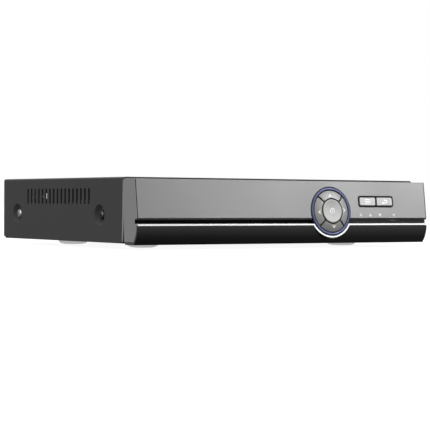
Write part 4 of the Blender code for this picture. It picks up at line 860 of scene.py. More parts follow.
def panel_outline():
    """(Y, Z) section of the moulding: top, tilted face with a fine bead at its foot, groove and chin."""
    corner, (foot_y, foot_z) = face_yz(FACE_UP + 0.7 * MM), FACE_FOOT
    bead = [FACE_FOOT, (foot_y - 0.10 * MM, foot_z - 0.35 * MM), (foot_y + 0.35 * MM, foot_z - 0.80 * MM)]
    outline = filleted([(PANEL_REAR, PANEL_TOP), corner, FACE_FOOT], 0.35 * MM, 6, closed=False)[:-1]
    outline += filleted(bead, 0.12 * MM, 4, closed=False)
    behind_y, over_z = GROOVE_Y - 0.1 * MM, GROOVE_TOP_Z + 0.6 * MM
    ledge_y = FASCIA_LOW.y + 1.1 * MM
    outline += [(bead[-1][0] + 0.9 * MM, over_z), (behind_y, over_z), (behind_y, GROOVE_LOW_Z)]
    outline += [(ledge_y, GROOVE_LOW_Z), (ledge_y, FASCIA_HIGH.z + 0.2 * MM)]
    return outline + fascia_curve(FASCIA_T + GAP, PANEL_LOW, 16) + [(PANEL_REAR, PANEL_LOW)]


def panel():
    """The grey moulding, with its cavity and every opening in it."""
    body = across(panel_outline(), HALF_W, 0.20 * MM).object("panel")
    cut(body, panel_cavity())
    cut(body, seat_cutter(SEAT_CUT_R))
    dip = below(TRIM_OUT_R + GAP, TRIM_LOW_V - 0.2 * MM, 64)
    cut(body, Stock(FACE).prism(dip, -6.5 * MM, 4 * MM))
    window = rounded_rectangle(FRAME_SIZE.x + GAP, FRAME_SIZE.y + GAP, FRAME_CORNER, FRAME_MIDDLE, 6)
    openings = Stock(FACE).prism(window, -6 * MM, 3 * MM)
    for side, _ in SIDES:
        openings.prism(seam_rectangle(side, SEAM_W, FACE_HEIGHT + 4 * MM, MM), -0.7 * MM, 2 * MM)
    cut(body, openings)
    cut(body, joint_cutter())
    piece(body, "grey_panel", replaces=["front_bezel"])


def panel_cavity():
    top, rear = PANEL_TOP - WALL, PANEL_REAR + 5 * MM
    front_top, front_low = face_yz(FACE_UP, -WALL)[0], face_yz(FACE_DOWN, -WALL)[0]
    outline = [(rear, top), (front_top, top - 0.8 * MM), (front_low, GROOVE_TOP_Z + WALL + 0.6 * MM)]
    outline += [(GROOVE_Y + WALL, GROOVE_TOP_Z + WALL), (GROOVE_Y + WALL, GROOVE_LOW_Z - 4 * MM)]
    outline += [(GROOVE_Y + 5.5 * MM, PANEL_LOW + WALL), (rear, PANEL_LOW + WALL)]
    return Stock(ALONG_X).prism(outline, WALL - HALF_W, HALF_W - WALL)


def joint_cutter():
    """Thins the panel's side walls where they stand away from the case towards the bottom."""
    low = PANEL_LOW - MM
    outline = [(PANEL_REAR + MM, JOINT_TOP), (PANEL_REAR, JOINT_TOP)]
    outline += [(PANEL_REAR - JOINT_OUT, low), (PANEL_REAR + MM, low)]
    return Stock().both_sides(outline, HALF_W - JOINT_DEPTH, HALF_W + MM)


def seams():
    """A black strip at the bottom of the groove between the face and each wing: painted shade that darkens
    the line.
    """
    for side, side_name in SIDES:
        strip = seam_rectangle(side, SEAM_W - 0.05 * MM, FACE_HEIGHT + 0.6 * MM)
        seam_shade = Stock(FACE).plate([strip], -0.65 * MM, -0.25 * MM, 0.05 * MM)
        seam_shade.piece(f"face_seam_{side_name}", DULL_BLACK, slot="black_matt")


def side_lips():
    """The moulding's rear lip at each side, seen between the wing and the cover's leaning edge."""
    clear, thickness = 0.1 * MM, 0.8 * MM
    low, high = PANEL_LOW + clear, TOP_Z - BEND - GAP
    front = PANEL_REAR + 0.03 * MM
    outline = [(front + JOINT_BACK, low), side_edge(clear, low), side_edge(clear, high)]
    outline += [(front, high), (front, JOINT_TOP)]
    for side, side_name in SIDES:
        middle = side * (HALF_W - thickness / 2 - 0.05 * MM)
        lip = Stock(Matrix.Translation((middle, 0, 0)) @ ALONG_X)
        lip.plate([outline], -thickness / 2, thickness / 2, 0.08 * MM)
        lip.piece(f"panel_lip_{side_name}", "grey_panel")


def joint_shade_strips():
    """A near-black strip at the bottom of each side's joint: painted shade in the gap between the panel and
    the case.
    """
    low, clear = PANEL_LOW + 0.1 * MM, 0.03 * MM
    outline = [(PANEL_REAR - JOINT_OUT + clear, low), (PANEL_REAR + JOINT_BACK, low)]
    outline += [(PANEL_REAR + 0.01 * MM, JOINT_TOP), (PANEL_REAR, JOINT_TOP)]
    for side, side_name in SIDES:
        reach = sorted((side * (HALF_W - 0.12 * MM), side * (HALF_W - JOINT_DEPTH + clear)))
        shade_strip = Stock(ALONG_X).prism(outline, *reach)
        # Painted shade: the joint's gap made black.
        shade_strip.piece(f"joint_painted_shade_{side_name}", RECESS_BLACK, slot="black_matt")


def fascia():
    """Gloss black skin that curves down and returns under the panel."""
    outer = fascia_curve(0.0, FASCIA_LOW.z + 0.35 * MM)
    inner_z, rear_y = PANEL_LOW - 0.1 * MM, FRONT_Y - 1.8 * MM
    outline = outer + [(outer[-1][0] + 0.45 * MM, FASCIA_LOW.z), (rear_y, FASCIA_LOW.z), (rear_y, inner_z)]
    skin = across(outline + fascia_curve(FASCIA_T, inner_z)[::-1], HALF_W, 0.30 * MM).object("fascia")
    cut(skin, seat_cutter(TRIM_OUT_R + 0.25 * MM))
    piece(skin, FASCIA_BLACK, replaces=["lower_fascia"])


def groove_liner():
    """Black lining of the groove, open at the ring: a gloss chamfer under the face, then the dull recess."""
    wall, low = 0.5 * MM, GROOVE_LOW_Z + 0.05 * MM
    start = (FACE_FOOT[0] + 0.15 * MM, FACE_FOOT[1] - 0.75 * MM)
    nose = FACE_FOOT[0] + 0.95 * MM
    chamfer = [start, (nose, GROOVE_TOP_Z), (nose + 0.35 * MM, GROOVE_TOP_Z + wall)]
    chamfer.append((start[0] + 0.3 * MM, start[1] + 0.05 * MM))
    behind, front, back = nose + 0.4 * MM, GROOVE_Y - 0.5 * MM, GROOVE_Y - 0.15 * MM
    recess = [(behind, GROOVE_TOP_Z), (front, GROOVE_TOP_Z), (front, low)]
    recess += [(back, low), (back, GROOVE_TOP_Z + wall), (behind, GROOVE_TOP_Z + wall)]
    lining = (
        # The chamfer's lighter black is a painted reflection.
        ("groove_chamfer", chamfer, CHAMFER_BLACK, []),
        ("groove_recess", recess, RECESS_BLACK, ["groove_strip"]),
    )
    for name, outline, finish, replaced in lining:
        liner = across(outline, HALF_W - 0.02 * MM, 0.04 * MM).object(name)
        cut(liner, seat_cutter(SEAT_CUT_R))
        piece(liner, finish, replaces=replaced)


def infrared_window():
    """A dark oval lens in the groove, in front of the remote control's receiver."""
    z = GROOVE_TOP_Z - (GROOVE_TOP_Z - GROOVE_LOW_Z) * 0.35
    middle = (middle_of("ir_receiver").x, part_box("light_window")[0].y, z)
    half_w, half_h = 3.6 * MM, 0.8 * MM
    oval = [(half_w * math.cos(a), half_h * math.sin(a)) for a in steps(0, 2 * math.pi, 47)[:-1]]
    lens = Stock(Matrix.Translation(middle) @ Matrix.Rotation(math.pi / 2, 4, "X"))
    lens.plate([oval], -0.4 * MM, 0.9 * MM, 0.3 * MM, 4)
    lens.piece("infrared_window", "smoked_lens")


def trim():
    """The bright band, level with a dip round the ring, on a black skirt that lines the dip."""
    left, right = -HALF_W - ORIGIN.x + 0.3 * MM, HALF_W - ORIGIN.x - 0.3 * MM
    top, low = TRIM_TOP_V - TRIM_SHY, TRIM_LOW_V + TRIM_SHY
    inner = below(SEAT_R + 0.05 * MM, top, 72)
    outer = below(TRIM_OUT_R - 3 * TRIM_SHY, low, 72)[::-1]
    outline = [(left, top), *inner, (right, top), (right, low), *outer, (left, low)]
    band = Stock(FACE).plate([outline], -0.45 * MM, 0.25 * MM, 0.22 * MM, 3)
    band.piece("trim_band", "white_trim", replaces=["trim_strip"])
    level = TRIM_LOW_V - 0.5 * MM
    lining = below(SEAT_R + 0.15 * MM, level, 64) + below(TRIM_OUT_R - 0.1 * MM, level, 64)[::-1]
    Stock(FACE).prism(lining, -6 * MM, -0.46 * MM).piece("trim_skirt", "black_gloss")


# ---------------------------------------------------------------- keypad

RING_BACK, RING_CROWN = (corner.z for corner in on_pad("dpad_ring"))
RING_HOLE_R = pad_radii("dpad_ring")[0]
KEY_OUT_R = RING_HOLE_R - GAP
KEY_IN_R = pad_radii("up_key")[0]
OK_R = pad_radii("ok_key")[1]
KEY_SPLIT = 1.05 * MM
KEY_BACK = on_pad("up_key")[0].z
POST_R = 1.5 * MM
PAD_TURN = math.radians(3.8)  # the printed arrows sit a little askew
DIRECTIONS = {"right_key": 0.0, "up_key": math.pi / 2, "left_key": math.pi, "down_key": -math.pi / 2}


def key_rise():
    """Height of a direction key over the face at its inner and outer rims."""
    points = [point - PAD for point in facewise("up_key")]
    outer = [point.z for point in points if KEY_OUT_R - 0.5 * MM < math.hypot(point.x, point.y) < KEY_OUT_R]
    return max(point.z for point in points), max(outer)


KEY_RISE = key_rise()


def key_height(radius):
    """Height over the face of a direction key, which falls from the middle key towards the ring."""
    share = (radius - KEY_IN_R) / (KEY_OUT_R - KEY_IN_R)
    return KEY_RISE[0] + (KEY_RISE[1] - KEY_RISE[0]) * share


def ring():
    """The blue ring: a rounded lacquered band inside a lower outer rim, whose near-black navy is painted
    shade.
    """
    in_r, out_r, swell = RING_HOLE_R + 0.15 * MM, RING_R - 0.35 * MM, 0.75 * MM
    middle, half = (in_r + out_r) / 2, (out_r - in_r) / 2
    crown = [
        (middle + half * math.cos(a), RING_CROWN - swell + swell * math.sin(a) ** 0.7)
        for a in steps(math.pi, 0, 16)
    ]
    band = Stock(FACE).ring([(in_r, RING_BACK), *crown, (out_r, RING_BACK)], 128)
    band.piece("ring_band", "blue_ring", replaces=["dpad_ring"])
    inner, low = out_r + 0.02 * MM, RING_CROWN - 0.45 * MM
    rim = [(inner, RING_BACK), (inner, low), (RING_R - 0.1 * MM, low - 0.12 * MM)]
    rim += [(RING_R, low - 0.3 * MM), (RING_R, RING_BACK)]
    # The rim's near-black navy is painted shade.
    Stock(FACE).ring(rim, 128).piece("ring_rim", PAINTED_SHADE_NAVY, slot="black_gloss")


def sector(turn, in_r, out_r, inset=0.0, count=20):
    """A quarter ring between two diagonals, moved in all round by inset, as matching outer and inner arcs."""
    side = KEY_SPLIT / 2 + inset
    in_r, out_r = in_r + inset, out_r - inset
    outer_half = math.pi / 4 - math.asin(side / out_r)
    inner_half = math.pi / 4 - math.asin(side / in_r)
    outer = arc(out_r, turn - outer_half, turn + outer_half, count)
    inner = arc(in_r, turn + inner_half, turn - inner_half, count)
    return outer + inner


def dome_cap(mesh, rim, rise, rows=4):
    """Closes a quarter ring's top with rows of quads between its outer and inner arcs, bulging by rise."""
    columns = []
    for outer, inner in zip(rim, reversed(rim[len(rim) // 2 :])):
        column = [outer]
        for share in steps(0, 1, rows)[1:-1]:
            lift = NORMAL * rise * 4 * share * (1 - share)
            column.append(mesh.verts.new(outer.co.lerp(inner.co, share) + lift))
        columns.append([*column, inner])
    for left, right in zip(columns, columns[1:]):
        for i in range(rows):
            mesh.faces.new((left[i], right[i], right[i + 1], left[i + 1]))
    bmesh.ops.recalc_face_normals(mesh, faces=mesh.faces)


def direction_key(name, turn):
    """One quarter of the pad: domed top with soft rims, side walls, flange and post."""
    soft = 0.35 * MM
    rings = [[(x, y, KEY_BACK + 1.2 * MM) for x, y in sector(turn, KEY_IN_R, KEY_OUT_R)]]
    for a in steps(0.0, math.pi / 2, 5):
        outline = sector(turn, KEY_IN_R, KEY_OUT_R, soft * (1 - math.cos(a)))
        drop = soft * (1 - math.sin(a))
        rings.append([(x, y, key_height(math.hypot(x, y)) - drop) for x, y in outline])
    key = Stock(FACE)
    dome_cap(key.mesh, key.loft(rings, top=False)[-1], 0.12 * MM)
    key.prism(sector(turn, KEY_IN_R, pad_radii(name)[1]), KEY_BACK, KEY_BACK + 0.7 * MM)
    low, high = on_pad(name.replace("_key", "_switch"))
    key.at(FACE @ Matrix.Translation((*((low + high) / 2).xy, 0)))
    key.turned([(POST_R, KEY_BACK + 0.5 * MM), (POST_R, on_pad(name)[0].z)], 24)
    key.piece(f"{name}_cap", "silver_key", name, [name])
    arrow(name, turn)


def arrow(name, turn):
    """A pale, notched triangle that points outwards, set into the key's slope."""
    radius, length, half_w, notch = KEY_IN_R + 2.0 * MM, 2.5 * MM, 2.0 * MM, 0.7 * MM
    back = radius - length / 2
    corners = [(radius + length / 2, 0), (back, half_w), (back + notch, 0), (back, -half_w)]
    slope = math.atan2(KEY_RISE[1] - KEY_RISE[0], KEY_OUT_R - KEY_IN_R)
    turn_out = Matrix.Rotation(turn + PAD_TURN, 4, "Z")
    tip = Matrix.Translation((radius, 0, key_height(radius) + 0.12 * MM)) @ Matrix.Rotation(-slope, 4, "Y")
    mark = Stock(FACE @ turn_out @ tip @ Matrix.Translation((-radius, 0, 0)))
    mark.plate([filleted(corners, 0.12 * MM, 3)], -0.15 * MM, 0.06 * MM, 0.03 * MM)
    mark.piece(f"{name}_arrow", WHITE_INK if name in ("up_key", "right_key") else PALE_INK, name)


def confirm_key():
    """The round middle key: a shallow spun dish with a soft rim, and a raised ring and dot as its mark."""
    low, rim = (corner.z for corner in on_pad("ok_key"))
    dish, soft = 0.3 * MM, 0.4 * MM
    profile = [(OK_R, KEY_BACK), *soft_rim(OK_R, rim, soft, steps(0, math.pi / 2, 6))]
    for share in steps(0.08, 0.96, 14):
        profile.append(((OK_R - soft) * (1 - share), rim - dish * (1 - (1 - share) ** 2)))
    key = Stock(FACE).turned(profile, 96).turned([(POST_R, KEY_BACK + 0.5 * MM), (POST_R, low)], 24)
    key.piece("ok_key_cap", "silver_key", "ok_key", ["ok_key"])
    level = rim - dish
    mark = Stock(FACE)
    mark.plate([circle(2.2 * MM, 48), circle(1.5 * MM, 48)], level - 0.1 * MM, level + 0.12 * MM, 0.03 * MM)
    mark.plate([circle(0.65 * MM, 32)], level - 0.1 * MM, level + 0.09 * MM, 0.03 * MM)
    mark.piece("ok_key_mark", WHITE_INK, "ok_key")


BAR_KEY_GROW = 0.6 * MM  # the visible keys fill their frame more closely than the nodes
BAR_KEY_CORNER = 0.8 * MM


def bar_key(name, mark):
    """One key of the frame, with its flange, post and mark. Returns the outline of the hole it needs."""
    low, high = on_pad(name)
    top_low, top_high = on_pad(name, crown=True)
    middle = ((top_low + top_high) / 2).xy
    width, height = (top_high - top_low).xy + Vector((BAR_KEY_GROW, BAR_KEY_GROW))
    back = FRAME_LOW.z - GAP
    cap = rounded_rectangle(width, height, BAR_KEY_CORNER, middle, 6)
    key = Stock(FACE).plate([cap], back - 0.2 * MM, high.z, 0.25 * MM, 4)
    flange = rounded_rectangle(high.x - low.x, high.y - low.y, BAR_KEY_CORNER, middle)
    key.prism(flange, back - 0.6 * MM, back)
    key.at(FACE @ Matrix.Translation((*middle, 0))).turned([(POST_R, back), (POST_R, low.z)], 24)
    key.piece(f"{name}_cap", "light_key", name, [name])
    marks = Stock(FACE)
    for outline in mark:
        marks.plate([moved(outline, *middle)], high.z - 0.05 * MM, high.z + 0.04 * MM, 0.01 * MM)
    marks.piece(f"{name}_mark", WHITE_INK, name)
    return rounded_rectangle(width + 0.5 * MM, height + 0.5 * MM, 0.9 * MM, middle, 6)


def bar_keys():
    """The black frame and its two keys, each with its mark."""
    holes = [bar_key("menu_key", menu_mark()), bar_key("escape_key", escape_mark())]
    rim = rounded_rectangle(*FRAME_SIZE, FRAME_CORNER, FRAME_MIDDLE, 8)
    frame_stock = Stock(FACE).plate([rim, *holes], FRAME_LOW.z, 0.30 * MM, 0.10 * MM, 3)
    frame_stock.piece("key_frame_fine", DULL_BLACK, replaces=["key_frame"], slot="black_gloss")


MARK_STROKE = 0.75 * MM


def menu_mark():
    return [rectangle(5.2 * MM, MARK_STROKE, (0, row * 1.25 * MM)) for row in (-1, 0, 1)]


def escape_mark():
    """A return arrow: a stroke that turns back on itself, with a head at its lower end."""
    reach, height, head = 2.3 * MM, 0.95 * MM, 0.95 * MM
    bend = arc(height, -math.pi / 2, math.pi / 2, 12, (reach - 0.9 * MM, 0))
    line = [(0.8 * MM - reach, -height), *bend, (1.6 * MM - reach, height)]
    outer, inner = [], []
    for before, point, after in zip(line[:1] + line, line, line[1:] + line[-1:]):
        along = Vector(after) - Vector(before)
        aside = Vector((-along.y, along.x)).normalized() * MARK_STROKE / 2
        outer.append(tuple(Vector(point) + aside))
        inner.append(tuple(Vector(point) - aside))
    tip, root = -reach - 0.5 * MM, head - reach
    return [outer + inner[::-1], [(tip, -height), (root, -height - head), (root, -height + head)]]


def curved_stroke(radius, stroke, start, end, count, centre=(0.0, 0.0)):
    """A stroke along an arc, whose outer edge has the given radius."""
    return arc(radius, start, end, count, centre) + arc(radius - stroke, end, start, count, centre)


def power_mark():
    """A broken ring with an upright stroke in its gap."""
    gap, stroke = 0.55, 0.30 * MM
    bow = curved_stroke(1.05 * MM, stroke, math.pi / 2 + gap, 5 * math.pi / 2 - gap, 32)
    return [[bow], [rectangle(stroke, 1.1 * MM, (0, 0.75 * MM))]]


def alarm_mark():
    """An open triangle round a short stroke."""
    big = [(0, 1.2 * MM), (-1.3 * MM, -1.0 * MM), (1.3 * MM, -1.0 * MM)]
    small = [(0, 0.62 * MM), (-0.80 * MM, -0.70 * MM), (0.80 * MM, -0.70 * MM)]
    return [[big, small], [rectangle(0.24 * MM, 0.55 * MM, (0, -0.15 * MM))]]


def record_mark():
    """A thin ring round a dot."""
    return [[circle(1.15 * MM, 40), circle(0.88 * MM, 40)], [circle(0.55 * MM, 24)]]


def infrared_mark():
    """A dot that sends out two arcs."""
    source = (-0.9 * MM, 0)
    arcs = [[curved_stroke(radius, 0.26 * MM, -0.75, 0.75, 14, source)] for radius in (0.95 * MM, 1.65 * MM)]
    return [[circle(0.38 * MM, 20, source)], *arcs]


def face_marks():
    """Printed symbols under the keys, each over the lamp or receiver that it names."""
    marks = {
        "power_light": power_mark(),
        "alarm_light": alarm_mark(),
        "record_light": record_mark(),
        "ir_receiver": infrared_mark(),
    }
    up = FACE_DOWN + 2.3 * MM
    for node, shapes in marks.items():
        x = middle_of(node).x - ORIGIN.x
        print_on = Stock(FACE)
        for outlines in shapes:
            print_on.plate([moved(outline, x, up) for outline in outlines], -0.02 * MM, 0.03 * MM, 0.008 * MM)
        print_on.piece(f"mark_{node}", WHITE_INK)


def keypad():
    ring()
    for name, turn in DIRECTIONS.items():
        direction_key(name, turn)
    confirm_key()
    bar_keys()
    face_marks()


# ---------------------------------------------------------------- rear sockets, in millimetres

SOCKET_FRONT = -1.3  # a socket's block ends just inside the rear panel
PIN_Z = {"dc_jack": 14, "vga_port": 15, "phono_in": 15, "phono_out": 29}  # heights over the case's floor


def on_rear(x, z):
    """Local z points out of the rear panel and local y up, both in millimetres."""
    turn = Matrix(((-1, 0, 0), (0, 0, 1), (0, 1, 0))).to_4x4()
    return Matrix.Translation((x, REAR_Y, z)) @ turn @ Matrix.Scale(MM, 4)


def out_of_rear(y):
    """How far out of the rear panel a world Y lies, in millimetres."""
    return (y - REAR_Y) / MM


def size_mm(node):
    """A node's width and height, seen from behind."""
    low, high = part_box(node)
    return (high.x - low.x) / MM, (high.z - low.z) / MM


def socket_block(stock, node):
    """The moulded or sheet-metal body that stands on the main board behind the panel."""
    middle = stock.place.inverted() @ middle_of(node)
    outline = rounded_rectangle(*size_mm(node), 0.5, (0, middle.y), 3)
    return stock.prism(outline, out_of_rear(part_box(node)[0].y), SOCKET_FRONT)


def ridged(radius, low, high, pitch, depth):
    """(radius, height) points of a thread, drawn as close rings."""
    count = int((high - low) / pitch)
    profile = []
    for i in range(count):
        z = low + i * pitch
        profile += [(radius - depth, z), (radius, z + pitch / 2)]
    return profile + [(radius - depth, low + count * pitch)]


def sleeve_profile(inner, outer, low, high):
    return [(inner, low), (outer, low), (outer, high), (inner, high)]


def video_socket(name):
    """A bayonet socket: threaded neck, nut, rolled barrel with two lugs, insulator and gold contact."""
    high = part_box(name)[1]
    place, end = on_rear(middle_of(name).x, high.z - 7.2 * MM), out_of_rear(high.y)
    neck, barrel, bore, thread = 3.5, 4.8, 4.1, 6.2
    profile = [(barrel - 1, SOCKET_FRONT - 1), *ridged(thread, SOCKET_FRONT, neck - 0.3, 0.6, 0.3)]
    profile += [(barrel - 0.4, neck), (barrel - 0.4, neck + 0.8), (barrel, neck + 1.2), (barrel, end - 0.3)]
    profile += [(barrel - 0.3, end), (bore, end - 0.2), (bore, neck), (barrel - 1, neck)]
    shell = socket_block(Stock(place).ring(profile, 48), name)
    shell.at(place @ Matrix.Translation((0, 0, end - 3.5)) @ Matrix.Rotation(math.pi / 2, 4, "Y"))
    for low_x, high_x in ((-5.6, -4.4), (4.4, 5.6)):
        shell.turned([(1, low_x), (1, high_x)], 20)
    shell.piece(f"{name}_shell", "connector_metal", replaces=[name])
    hole = circle(thread + 0.05, 32)
    nut = Stock(place).plate([circle(8.0, 6), hole], 0.5, 2.3, 0.15)
    nut.plate([circle(7.6, 32), hole], 0.05, 0.45, 0.05)
    nut.piece(f"{name}_nut", "zinc_steel")
    core = [(0.7, neck), (2.4, neck), (2.2, end - 2.5), (0.7, end - 2.5)]
    Stock(place).ring(core, 32).piece(f"{name}_insulator", IVORY)
    Stock(place).ring(sleeve_profile(0.35, 0.65, neck, end - 3), 20).piece(f"{name}_contact", GOLD)


def phono_sockets():
    """Two phono sockets in one black block: a plated barrel round a coloured insert for each."""
    x, end = middle_of("audio_jacks").x, out_of_rear(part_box("audio_jacks")[1].y)
    block = socket_block(Stock(on_rear(x, FLOOR_Z)), "audio_jacks")
    for name, colour in (("in", RED), ("out", IVORY)):
        place = on_rear(x, FLOOR_Z + PIN_Z[f"phono_{name}"] * MM)
        block.at(place).ring(sleeve_profile(3.2, 5.0, SOCKET_FRONT - 1, SOCKET_FRONT + 0.2), 32)
        barrel = [(3.7, SOCKET_FRONT), (4.2, SOCKET_FRONT), (4.2, end - 0.3), (3.9, end), (3.7, end - 0.1)]
        Stock(place).ring(barrel, 40).piece(f"audio_{name}_sleeve", "connector_metal")
        insert = sleeve_profile(1.6, 3.65, SOCKET_FRONT, end - 0.5)
        Stock(place).ring(insert, 40).piece(f"audio_{name}_insert", colour)
    block.piece("audio_block", "connector_black", replaces=["audio_jacks"])


def d_outline(inset=0.0):
    top, low, high = 8.3 - inset, 7.0 - inset, 4.0 - inset
    return filleted([(-low, -high), (low, -high), (top, high), (-top, high)], 1.6, 5)


def display_socket():
    """The D-shaped shell, its blue insert with fifteen holes, and two hexagonal posts."""
    end = out_of_rear(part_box("vga_port")[1].y)
    place = on_rear(middle_of("vga_port").x, FLOOR_Z + PIN_Z["vga_port"] * MM)
    shell = socket_block(Stock(place), "vga_port")
    shell.plate([d_outline(), d_outline(0.5)], SOCKET_FRONT - 0.3, end, 0.15)
    for centre in ((-12.5, 0), (12.5, 0)):
        shell.plate([circle(2.7, 6, centre), circle(1.3, 24, centre)], 0.4, end - 0.6, 0.2)
    shell.piece("vga_shell", "connector_metal", replaces=["vga_port"])
    pitch, row_pitch = 2.29, 1.98
    holes = []
    for row in (-1, 0, 1):
        shift = pitch / 4 if row else -pitch / 4
        holes += [circle(0.5, 12, ((column - 2) * pitch + shift, row * row_pitch)) for column in range(5)]
    Stock(place).plate([d_outline(0.6), *holes], SOCKET_FRONT, end - 1.2, 0.08).piece("vga_insert", BLUE)


def shell_socket(name, mouths, depth):
    """A drawn metal shell with rounded rims round its mouths. Returns its place, with its foot at y 0."""
    low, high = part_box(name)
    place = on_rear(middle_of(name).x, low.z)
    front, (width, height) = out_of_rear(high.y), size_mm(name)
    whole = rounded_rectangle(width, height, 0.5, (0, height / 2), 4)
    shell = Stock(place).plate([whole, *mouths], front - depth, front, 0.12)
    shell.prism(whole, out_of_rear(low.y), front - depth - 0.02)
    shell.piece(f"{name}_shell", "connector_metal", replaces=[name])
    return place


def contacts(name, place, centre, count, pitch, length):
    """A row of flat gold strips on one side of a tongue."""
    x, y, front = centre
    half_w, half_t = pitch * 0.25, 0.06
    stock = Stock(place)
    for i in range(count):
        middle = x + (i - (count - 1) / 2) * pitch
        stock.block((middle - half_w, y - half_t, front - length), (middle + half_w, y + half_t, front))
    stock.piece(name, GOLD)


def digital_display_socket():
    width, height = size_mm("hdmi_port")
    wall, shy = 0.6, 1.4
    half, top = width / 2 - wall, height - wall
    mouth = [(shy - half, wall), (half - shy, wall), (half, wall + shy), (half, top), (-half, top)]
    mouth.append((-half, wall + shy))
    place = shell_socket("hdmi_port", [filleted(mouth, 0.4, 3)], 9)
    tongue = Stock(place).plate([rectangle(10, 1, (0, height / 2))], -9, -1, 0.1)
    tongue.piece("hdmi_tongue", "connector_black")
    contacts("hdmi_contacts", place, (0, height / 2 - 0.58, -1.4), 9, 1.0, 6)


def usb_sockets():
    width, height = size_mm("usb_port")
    mouth_w, apart = width - 1.2, 3.7
    levels = {"low": height / 2 - apart, "high": height / 2 + apart}
    mouths = [rounded_rectangle(mouth_w, 5.3, 0.4, (0, level), 3) for level in levels.values()]
    place = shell_socket("usb_port", mouths, 12)
    for name, level in levels.items():
        tongue = Stock(place).plate([rectangle(mouth_w - 1, 1.6, (0, level + 1))], -11.5, -0.8, 0.15)
        tongue.piece(f"usb_tongue_{name}", IVORY)
        contacts(f"usb_contacts_{name}", place, (0, level + 0.14, -1.4), 4, 2.2, 8)


def network_socket():
    """A stepped mouth with a black lining, eight contacts and two lamps."""
    body, latch, floor, step, top = 5.9, 3.2, 1.2, 3.0, 11.2
    mouth = [(-body, step), (-latch, step), (-latch, floor), (latch, floor), (latch, step), (body, step)]
    mouth += [(body, top), (-body, top)]
    place = shell_socket("lan_port", [filleted(mouth, 0.3, 2)], 13)
    middle = (floor + top) / 2
    outer, inner = ([(x * share, middle + (y - middle) * share) for x, y in mouth] for share in (0.98, 0.90))
    lining = Stock(place).plate([outer, inner], -12, -0.4, 0.05).plate([outer], -12.9, -12.1, 0.05)
    lining.piece("lan_lining", "connector_black")
    contacts("lan_contacts", place, (0, top - 0.75, -2.5), 8, 1.02, 9)
    for name, x, finish in (("green", -5.2, "lamp_green"), ("amber", 5.2, YELLOW)):
        lamp_window = Stock(place).plate([rounded_rectangle(2.6, 1.2, 0.3, (x, 12.4), 3)], 0.55, 0.75, 0.06)
        lamp_window.piece(f"lan_lamp_{name}", finish)


def supply_jack():
    """The round supply socket: a black moulding with a plated pin."""
    place = on_rear(middle_of("dc_jack").x, FLOOR_Z + PIN_Z["dc_jack"] * MM)
    front = out_of_rear(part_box("dc_jack")[1].y)
    profile = [(2.9, SOCKET_FRONT - 0.5), (3.8, SOCKET_FRONT - 0.5), (3.8, front - 0.2)]
    profile += [(3.6, front), (3.0, front), (2.9, front - 0.15)]
    body = socket_block(Stock(place), "dc_jack").ring(profile, 40)
    body.piece("dc_jack_body", "connector_black", replaces=["dc_jack"])
    tip = front - 0.6
    pin = [(1.05, SOCKET_FRONT), (1.05, tip - 0.5), (0.75, tip - 0.1), (0.4, tip)]
    Stock(place).turned(pin, 24).piece("dc_jack_pin", "connector_metal")


def sockets():
    for name in ("video_in_1", "video_in_2", "video_in_3", "video_in_4", "video_out"):
        video_socket(name)
    phono_sockets()
    display_socket()
    digital_display_socket()
    usb_sockets()
    network_socket()
    supply_jack()


# ---------------------------------------------------------------- inside, in millimetres

BLADES = 7


def blade(stock, hub_r, tip_r, middle):
    """One cambered, twisted blade, skinned from sections between its root in the hub and its tip."""
    root_r, thick = hub_r - 1, 0.35
    sections = []
    for share in steps(0.0, 1.0, 6):
        radius = root_r + share * (tip_r - root_r)
        pitch = math.radians(42 - 14 * share)
        half = 4.2 + 2.2 * share
        upper, lower = [], []
        for along in steps(-1.0, 1.0, 6):
            for line, side in ((upper, 1), (lower, -1)):
                lift = 0.5 * (1 - along**2) + side * thick * (1 - 0.6 * along**2)
                y = along * half * math.cos(pitch) - lift * math.sin(pitch)
                height = along * half * math.sin(pitch) + lift * math.cos(pitch)
                line.append((math.sqrt(radius**2 - y**2), y, middle + height))
        sections.append(upper + lower[::-1])
    stock.loft(sections)


def fan():
    """The rotor: a rounded hub with a label, and its blades."""
    low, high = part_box("fan_rotor")
    middle = middle_of("fan_rotor")
    rear, front = out_of_rear(high.y), out_of_rear(low.y)
    axis, hub_r, tip_r, rim = on_rear(middle.x, middle.z), 10.5, (high.z - low.z) / 2 / MM, 0.8
    profile = [(hub_r, front), (hub_r, rear - rim), *soft_rim(hub_r, rear, rim, steps(0.2, 1.5, 5))]
    rotor = Stock(axis).turned(profile, 64)
    for i in range(BLADES):
        rotor.at(axis @ Matrix.Rotation(2 * math.pi * i / BLADES, 4, "Z"))
        blade(rotor, hub_r, tip_r, (rear + front) / 2)
    rotor.piece("fan_blades", "black_matt", "fan_rotor", ["fan_rotor"])
    label = Stock(axis).plate([circle(7.5, 48)], rear - 0.02, rear + 0.04, 0.015)
    label.piece("fan_label", LABEL, "fan_rotor")


def board_parts():
    """Memory and power chips, and round capacitors, in the open parts of the main board."""
    low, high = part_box("main_board")
    corner = Matrix.Translation((low.x, low.y, high.z + 0.02 * MM)) @ Matrix.Scale(MM, 4)
    chips, pins, cans = Stock(corner), Stock(corner), Stock()
    memory_y = 18
    for x in (14, 30, 46, 62):
        chips.plate([rounded_rectangle(11, 8, 0.3, (x, memory_y))], 0, 1.1, 0.15)
        for y in (memory_y - 4.5, memory_y + 4.5):
            for pin in range(8):
                pin_x = x + (pin - 3.5) * 1.2
                pins.block((pin_x - 0.2, y - 0.45, 0), (pin_x + 0.2, y + 0.45, 0.25))
    chips.plate([rounded_rectangle(12, 12, 0.3, (30, 36))], 0, 1.3, 0.15)
    chips.piece("board_chips", CHIP)
    pins.piece("chip_pins", "connector_metal")
    for x in (48, 58, 68):
        can = [(3.0, 0.0), (3.0, 7.2), (2.7, 7.6), (2.3, 7.6), (2.2, 7.4)]
        cans.at(corner @ Matrix.Translation((x, 38, 0))).turned(can, 32)
    cans.piece("board_capacitors", "cast_aluminium")


